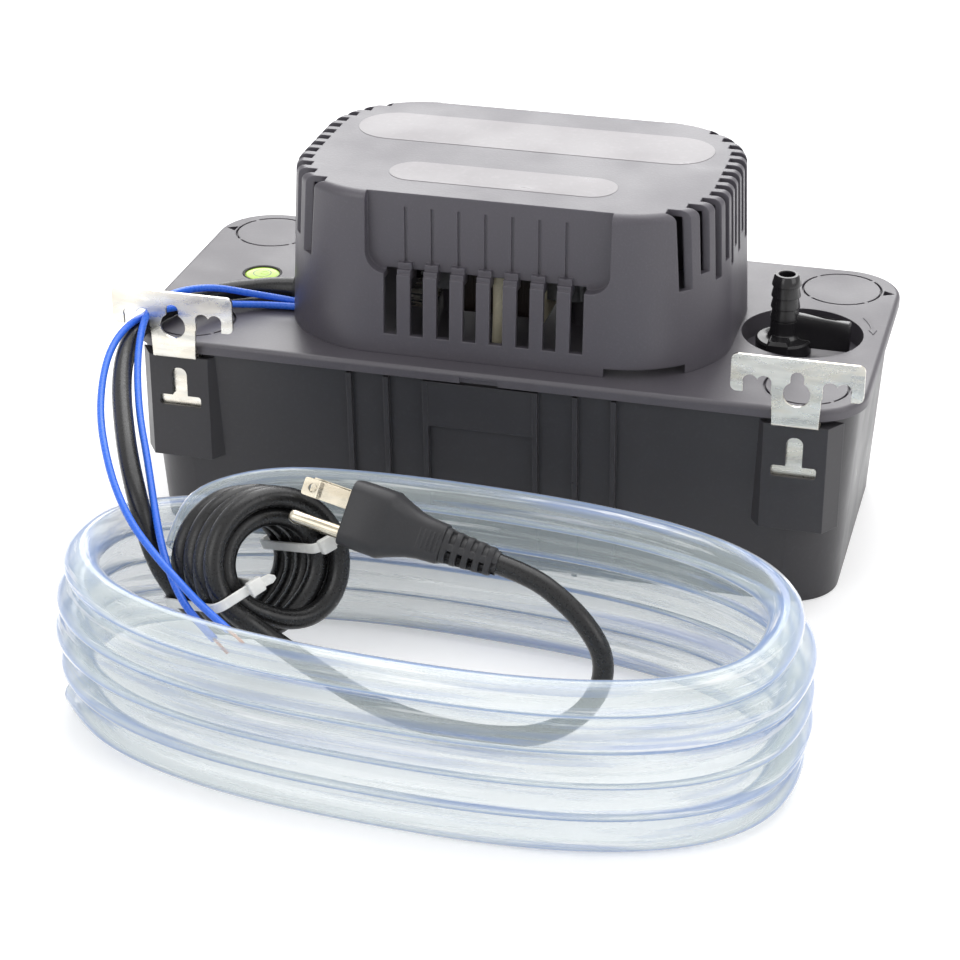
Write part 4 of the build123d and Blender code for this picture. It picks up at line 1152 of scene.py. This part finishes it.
@dataclass
class CordCoil:
    """Where the supply cord's tied coil lies, and its size. Angles are degrees."""

    face: Point = (-42.0, -176.5, 54.0)
    axis: Point = (0.635, -0.680, 0.366)
    across: Point = (0.680, 0.635, 0.0)
    length: float = 41.0
    outer: float = 28.0
    bore: float = 14.0
    skew: float = 4.6
    cord: float = 3.75
    per_turn: int = 16
    first: float = 205.0
    last: float = 3105.0
    step_over: float = 240.0
    step_width: float = 75.0
    sway: float = 0.35

    def frame(self) -> Matrix:
        """The coil's own frame: X to the right, Y up and Z out of its front."""
        return place(self.face, self.across, self.axis)

    def turns(self) -> list[Point]:
        """Winds the turns in two layers, from the back ring to the front one.

        Returns:
            The cord's control points.
        """
        points = []
        at = self.frame()
        radii = (self.outer - self.cord, self.bore + self.cord)
        # The spline's radius as a share of its control points' radius.
        cut_in = (6 + 2 * math.cos(2 * math.pi / self.per_turn)) / 8
        steps = round((self.last - self.first) / 360 * self.per_turn) - 1
        depth = self.length - 2 * self.cord
        for step in range(1, steps + 1):
            angle = self.first + 360 * step / self.per_turn
            share = (angle - self.first) / (self.last - self.first)
            turn = math.floor((angle - self.step_over) / 360)
            before, after = radii if turn % 2 == 0 else radii[::-1]
            blend = smooth((angle - self.step_over - 360 * turn) / self.step_width)
            radius = before + (after - before) * blend if turn >= 0 else radii[0]
            radius += self.sway * math.sin(2.1 * angle / 57.3 + 0.6 * turn)
            back = self.length - self.cord - depth * share
            x = radius / cut_in * math.cos(math.radians(angle)) - self.skew * back / self.length
            y = radius / cut_in * math.sin(math.radians(angle))
            points.append(tuple(at @ Vector((x, y, -back))))
        return points


LEAD_ROUTE: Route = (
    (-82, -17, 89.3), (-96, -17.6, 89.2), (-110, -22.5, 89.1), (-122, -31.5, 89.1),
    (-130.5, -44, 89.2), (-135, -58, 89.4), (-136.2, -73, 89.4), (-134.3, -90, 87.2),
    (-128.7, -108.7, 83.4), (-120, -129, 78.8), (-110.6, -148.5, 73.8),
    (-101.3, -163.6, 63.9), (-95.8, -168.4, 50.5), (-89.8, -170.4, 38),
)
TAIL_ROUTE: Route = (
    (-50.2, -192.6, 38.2), (-39.5, -188, 27.5), (-28, -184.6, 17.5), (-14, -183.4, 8.6),
    (2, -185.4, 4.3), (20, -189.5, 4), (37.5, -190, 4.2), (53, -187.2, 5.2), (66, -183, 12),
    (73.6, -180.4, 23.8), (74, -179, 36), (67.4, -177.4, 46.4), (58, -175, 54),
)
BLUE_LEAD_A: Route = (
    (-82, -29.4, 86.8), (-94, -30.4, 86.9), (-106.5, -34.5, 87.6), (-117.5, -42.5, 89.8),
    (-126.5, -54, 92.4), (-132.6, -65.5, 94.1), (-137, -78.5, 94.4), (-138.8, -93, 90.4),
    (-135.5, -110.5, 85.2), (-128.8, -130, 80), (-119.8, -148, 75.4), (-110.3, -163.4, 69.6),
    (-99.6, -175.5, 62.4), (-87, -185, 56), (-75.5, -193, 51.5), (-64, -200.5, 47),
    (-52.5, -207, 43.5),
)
BLUE_LEAD_B: Route = (
    (-82, -25.4, 86.8), (-93.5, -26.2, 88.2), (-105, -29.9, 90.6), (-116, -36, 94.4),
    (-124.5, -44.5, 96.4), (-130, -56, 97.6), (-132.3, -69.5, 97.1), (-130.6, -83, 92.4),
    (-125.2, -101, 86), (-115.6, -124, 78.6), (-105.6, -143, 72.5), (-97, -160, 63),
    (-88, -176, 52.5), (-79.6, -186.5, 44.7), (-70, -196, 40), (-59.5, -203, 36.5),
)


@dataclass
class Plug:
    """The moulded grounded plug.

    Each of the body's stations has how far it lies behind the face, its width, depth and
    rounding. Each of the pin's has its place and its share of the radius.
    """

    face: Point = (-19.2, -170.4, 75.2)
    axis: Point = (0.976, -0.040, -0.215)
    side: Point = (0.198, -0.878, 0.436)
    length: float = 35.0
    stations: Stations = (
        (0.0, 20.4, 22.9, 4.6),
        (0.5, 21.0, 23.5, 5.0),
        (8.0, 21.3, 23.8, 5.2),
        (14.4, 21.4, 24.0, 5.4),
        (15.4, 20.6, 22.9, 5.4),
        (20.0, 17.6, 19.4, 5.0),
        (24.0, 15.2, 16.6, 4.4),
        (28.0, 14.2, 15.0, 3.9),
        (34.4, 13.8, 14.2, 3.6),
        (35.0, 13.2, 13.6, 3.4),
    )
    relief: float = 20.0
    rings: int = 5
    ring: Profile = ((0.0, -0.5), (0.3, 0.0), (1.9, -0.2), (2.2, -0.7))
    ring_size: float = 12.6
    ring_taper: float = 3.0
    grips: int = 5
    grip_size: Point = (0.7, 7.0, 0.7)
    grip_pitch: float = 1.6
    blade_spacing: float = 12.7
    blade_y: float = -3.97
    blade_length: float = 17.5
    blade_width: float = 6.35
    blade_sheet: float = 1.5
    blade_hole: float = 1.6
    tip: float = 3.6
    shank: float = 5.6
    pin_y: float = 7.93
    pin_radius: float = 2.4
    pin: Profile = (
        (0.3, 1.0), (-0.2, 1.0), (-18.1, 1.0), (-19.4, 0.86), (-20.1, 0.62), (-20.5, 0.28),
    )

    def frame(self) -> Matrix:
        """The plug's own frame, with Z from its face to its cord."""
        return place(self.face, self.side, self.axis)

    def point(self, along: float) -> Point:
        """The point on the plug's axis this far behind its face."""
        return tuple(self.frame() @ Vector((0, 0, along)))

    def build(self) -> list[Piece]:
        """Makes the moulding, blades and earth pin, and returns them."""
        return [self.mould(), self.stamp_blades(), self.turn_pin()]

    def mould(self) -> Piece:
        """Makes the body with its finger grips and its slotted strain relief.

        Returns:
            The moulding.
        """
        build = Build()
        at = self.frame()
        build.loft([
            oval(width, depth, rounding, at @ shift(z=along), 48)
            for along, width, depth, rounding in self.stations
        ])
        for i in range(self.grips):
            for side in (-6.95, 6.95):
                spot = at @ shift(side, 0, 27.0 + self.grip_pitch * i)
                build.block(self.grip_size, spot, 0.2)
        self.add_relief(build, at)
        return build.piece("plug_moulding", Finish.PLUG, "cord_jacket", "plug_body", crease=40)

    def add_relief(self, build: Build, at: Matrix) -> None:
        """Adds the strain relief: rings on a thin core, joined by a rib on each side.

        Args:
            build: The moulding to add to.
            at: The plug's frame.
        """
        end = self.length + self.relief
        core = ((self.length - 1.0, 4.9), (end, 4.3))
        build.loft([circle(radius, at @ shift(z=along)) for along, radius in core])
        for i in range(self.rings):
            start = self.length + i * self.relief / self.rings
            side = self.ring_size - self.ring_taper * (i / self.rings)
            ring = []
            for along, wider in self.ring:
                size = side + wider
                ring.append(oval(size, size, size * 0.3, at @ shift(z=start + along), 24))
            build.loft(ring)
        for turn in (0, 90, 180, 270):
            turned = at @ Matrix.Rotation(math.radians(turn), 4, "Z")
            build.loft([
                oval(reach, 2.6, 0.4, turned @ shift(reach / 2, 0, along), 16)
                for along, reach in ((self.length - 0.5, 6.25), (end - 2.0, 4.85))
            ])

    def stamp_blades(self) -> Piece:
        """Makes the two flat blades, each with its hole and chamfered tip.

        Returns:
            The blades, as one piece.
        """
        build = Build()
        count = 24
        middle = self.tip - self.blade_length
        shank = self.blade_length - self.shank
        for side in (-self.blade_spacing / 2, self.blade_spacing / 2):
            flat = self.frame() @ shift(side, self.blade_y)
            holes, edges = [], []
            for sheet in (-self.blade_sheet / 2, self.blade_sheet / 2):
                turns = [2 * math.pi * i / count for i in range(count)]
                waves = [(math.cos(turn), math.sin(turn)) for turn in turns]
                holes.append([
                    flat @ Vector((sheet, self.blade_hole * c, middle + self.blade_hole * s))
                    for c, s in waves
                ])
                squared = [
                    (math.copysign(abs(c) ** 0.25, c), math.copysign(abs(s) ** 0.25, s))
                    for c, s in waves
                ]
                edges.append([
                    flat @ Vector((sheet, c * self.blade_width / 2, middle + s * self.tip))
                    for c, s in squared
                ])
            build.loft([holes[0], edges[0], edges[1], holes[1]], Ends.JOINED)
            size = (self.blade_sheet, self.blade_width, shank + 0.4)
            build.block(size, flat @ shift(z=0.1 - shank / 2), 0.12)
        return build.piece("plug_blade_pair", Finish.BLADE, "blade_metal", "plug_blades", crease=18)

    def turn_pin(self) -> Piece:
        """Makes the round earth pin with its domed tip.

        Returns:
            The pin.
        """
        build = Build()
        at = self.frame() @ shift(y=self.pin_y)
        build.loft([circle(self.pin_radius * size, at @ shift(z=z)) for z, size in self.pin])
        return build.piece("plug_earth_pin", Finish.BLADE, "blade_metal", "plug_ground_pin")


@dataclass
class CableTies:
    """The two white ties through the coil's hole. The second one's free end was left long."""

    coil: CordCoil
    angles: Pair = (198.0, 14.0)
    head_steps: Pair = (0.6, 3.4)
    tails: Pair = (-5.0, 13.0)
    width: float = 3.6
    sheet: float = 1.1
    gap: float = 0.9
    corner: float = 3.0
    head_size: Point = (5.4, 5.6, 3.6)

    def build(self) -> Piece:
        """Makes both ties.

        Returns:
            The ties, as one piece.
        """
        build = Build()
        for angle, head_step, tail in zip(self.angles, self.head_steps, self.tails):
            self.add_tie(build, angle, head_step, tail)
        return build.piece("tie_wraps", Finish.NYLON, "white_plastic", "cable_ties", crease=30)

    def add_tie(self, build: Build, angle: float, head_step: float, tail: float) -> None:
        """Adds one tie.

        Args:
            build: The piece to add to.
            angle: Where it goes round the coil's wall, degrees.
            head_step: How far its head sits out from the bore.
            tail: Length of its free end, negative if that points inward.
        """
        coil, corner = self.coil, self.corner
        spoke = Vector((math.cos(math.radians(angle)), math.sin(math.radians(angle)), 0))
        around = Vector((-spoke.y, spoke.x, 0))
        inner, outer = coil.bore - self.gap, coil.outer + self.gap
        front, back = self.gap * 0.5, -coil.length - self.gap * 0.5
        corners = (
            (outer - corner, front - corner), (inner + corner, front - corner),
            (inner + corner, back + corner), (outer - corner, back + corner),
        )
        sections = []
        for quarter, (reach, depth) in enumerate(corners):
            for turn in (0, 30, 60, 90):
                facing = math.radians(90 * quarter + turn)
                here = reach + corner * math.cos(facing)
                deep = depth + corner * math.sin(facing)
                lean = Vector((coil.skew * deep / coil.length, 0, deep))
                out = spoke * math.cos(facing) + Vector((0, 0, math.sin(facing)))
                middle = spoke * here + lean + out * self.sheet / 2
                at = coil.frame() @ place(middle, around, out.cross(around))
                sections.append(oval(self.width, self.sheet, 0.25, at, 8))
        build.loft(sections, Ends.JOINED)
        head = spoke * (inner + head_step) + Vector((0, 0, front + self.sheet + 1.2))
        build.block(self.head_size, coil.frame() @ place(head, around, (0, 0, 1)), 0.7)
        self.add_tail(build, head, spoke * math.copysign(1.0, tail), abs(tail))

    def add_tail(self, build: Build, head: Vector, out: Vector, length: float) -> None:
        """Adds a tie's free end.

        Args:
            build: The piece to add to.
            head: The middle of the tie's head.
            out: The direction that the end leaves in.
            length: Its length.
        """
        across = out.cross(Vector((0, 0, 1)))
        sections = []
        for i in range(8):
            share = i / 7
            rise = Vector((0, 0, 0.4 + 2.4 * share * share))
            at = self.coil.frame() @ place(head + out * (2.0 + length * share) + rise, across, out)
            width = self.width * (1.0 if share < 0.75 else 1.0 - 2.6 * (share - 0.75))
            sections.append(oval(width, self.sheet * 0.8, 0.2, at, 8))
        build.loft(sections)


@dataclass
class SupplyCord:
    """The black supply cord from the hood to the plug, tied in a coil on its way."""

    radius: float = 3.75
    relief_length: float = 24.0
    relief_radius: float = 4.85
    relief_taper: float = 1.07

    def build(self) -> None:
        """Lays the cord and adds its strain relief, ties and plug."""
        coil, plug = CordCoil(), Plug()
        behind = [plug.point(plug.length + plug.relief + step) for step in (12.0, -2.0)]
        route = [*LEAD_ROUTE, *coil.turns(), *TAIL_ROUTE, *behind]
        cord = lay_cord("supply_cord", route, self.radius, Finish.CORD)
        settle(cord, "cord_jacket", "power_cord_lead", "power_cord_coil", "power_cord_tail")
        line = rail(cord)
        pieces = [*plug.build(), CableTies(coil).build(), self.add_relief(line)]
        dress(Finish.RUBBER, "cord_grommet")

    def add_relief(self, line: Line) -> Piece:
        """Adds the tapered sleeve where the cord leaves the hood.

        Args:
            line: The cord's own line.

        Returns:
            The sleeve.
        """
        run, held = 0.0, [line[0]]
        for before, here in zip(line, line[1:]):
            run += (here - before).length
            held.append(here)
            if run > self.relief_length:
                break
        return sleeve(
            "cord_relief", held, lambda share: self.relief_radius - self.relief_taper * share,
            Finish.CORD, "cord_jacket",
        )


@dataclass
class BlueLeads:
    """The two blue leads of the safety switch, with stripped ends."""

    radius: float = 1.4
    bare: float = 9.0
    strands: int = 7
    strand: float = 0.42

    def build(self) -> None:
        """Lays both leads and their bare strands."""
        for letter, route in (("a", BLUE_LEAD_A), ("b", BLUE_LEAD_B)):
            lead = lay_cord(f"blue_lead_{letter}", route, self.radius, Finish.BLUE)
            settle(lead, "blue_wire", f"signal_lead_{letter}")
            line = rail(lead)
            end = self.strip(f"lead_strands_{letter}", line)

    def strip(self, name: str, line: Line) -> Piece:
        """Adds the twisted strands that stand out of a lead's end.

        Args:
            name: The piece's name.
            line: The lead's own line.

        Returns:
            The strands.
        """
        end = line[-1]
        along = (line[-1] - line[-3]).normalized()
        round_it = self.strands - 1
        build = Build()
        for strand in range(self.strands):
            reach = 0.0 if strand == round_it else self.strand
            sections = []
            for i in range(7):
                turn = 2 * math.pi * (strand / round_it + i / 12)
                at = place(end + along * (self.bare * i / 6 - 1.0), END_X, along)
                middle = at @ Vector((reach * math.cos(turn), reach * math.sin(turn), 0))
                at = place(middle, END_X, along)
                sections.append(oval(self.strand, self.strand, 0.2, at, 8))
            build.loft(sections)
        return build.piece(name, Finish.COPPER_END, "blade_metal")


@dataclass
class CoiledHose:
    """The clear discharge hose, wound in five turns that stand on one another."""

    radius: float = 6.35
    bore: float = 4.75
    centre: Pair = (11.8, -181.2)
    half_lengths: tuple[float, ...] = (127.5, 130.0, 130.0, 129.5, 125.5)
    half_depths: tuple[float, ...] = (64.0, 65.6, 65.8, 65.2, 63.4)
    fullness: float = 2.5
    turned: float = -3.0
    first: float = 200.0
    last: float = 1930.0
    ramp_from: float = 130.0
    ramp: float = 70.0
    per_turn: int = 24
    sway: float = 0.7
    high_end: Route = (
        (-85.0, -138.0, 55.5), (-89.0, -146.0, 49.0), (-89.5, -154.0, 42.5),
    )

    def build(self) -> None:
        """Lays the hose and adds its cut ends."""
        hose = lay_cord("coiled_hose", self.route(), self.radius, Finish.VINYL, caps=False)
        settle(hose, "clear_vinyl", "discharge_hose")
        line = rail(hose)
        ends = [
            self.cut_end("hose_end_low", line[0], line[0] - line[1]),
            self.cut_end("hose_end_high", line[-1], line[-1] - line[-2]),
        ]

    @staticmethod
    def at_height(sizes: Sequence[float], rise: float) -> float:
        """Finds a size of the oval between two turns.

        Args:
            sizes: The size at each turn.
            rise: The height, counted in turns.

        Returns:
            The size there.
        """
        low = max(0, min(len(sizes) - 1, math.floor(rise)))
        high = min(len(sizes) - 1, low + 1)
        return sizes[low] + (sizes[high] - sizes[low]) * (rise - low)

    def route(self) -> list[Point]:
        """Winds the turns, each climbing on to the last at the left end.

        Returns:
            The hose's control points.
        """
        points = []
        steps = round((self.last - self.first) / 360 * self.per_turn)
        power = 2 / self.fullness
        turn = Matrix.Rotation(math.radians(self.turned), 3, "Z")
        for step in range(steps + 1):
            angle = self.first + 360 * step / self.per_turn
            past = (angle - self.ramp_from) / 360
            rise = math.floor(past) - 1 + smooth((past - math.floor(past)) * 360 / self.ramp)
            c, s = math.cos(math.radians(angle)), math.sin(math.radians(angle))
            x = math.copysign(abs(c) ** power, c) * self.at_height(self.half_lengths, rise)
            y = math.copysign(abs(s) ** power, s) * self.at_height(self.half_depths, rise)
            x += self.sway * math.sin(angle / 41 + rise)
            spot = turn @ Vector((x, y, 0))
            height = self.radius * (1 + 2 * rise)
            points.append((self.centre[0] + spot.x, self.centre[1] + spot.y, height))
        return [*points, *self.high_end]

    def cut_end(self, name: str, at: Vector, outward: Vector) -> Piece:
        """Adds the tube's cut face, a ring as thick as its wall.

        Args:
            name: The piece's name.
            at: The end of the hose's line.
            outward: The direction out of the hose.

        Returns:
            The ring.
        """
        spot = place(at, END_X, outward)
        outline = (
            (self.bore, -6.0), (self.bore, 0.1), (self.radius - 0.3, 0.1), (self.radius, -0.2),
        )
        build = Build()
        build.loft([circle(size, spot @ shift(z=z), 32) for size, z in outline], Ends.OPEN)
        return build.piece(name, Finish.VINYL, "clear_vinyl")


def main() -> None:
    """Builds every part of the scene in order."""
    logging.basicConfig(level=logging.INFO, format="%(message)s")
    for part in (
        Studio(), SupplyCord(), BlueLeads(), CoiledHose(), TankAndDeck(), MotorHood(),
        BubbleLevel(), CheckValve(), Mechanism(),
    ):
        log.info("%s", type(part).__name__)
        part.build()


if __name__ == "__main__":
    main()
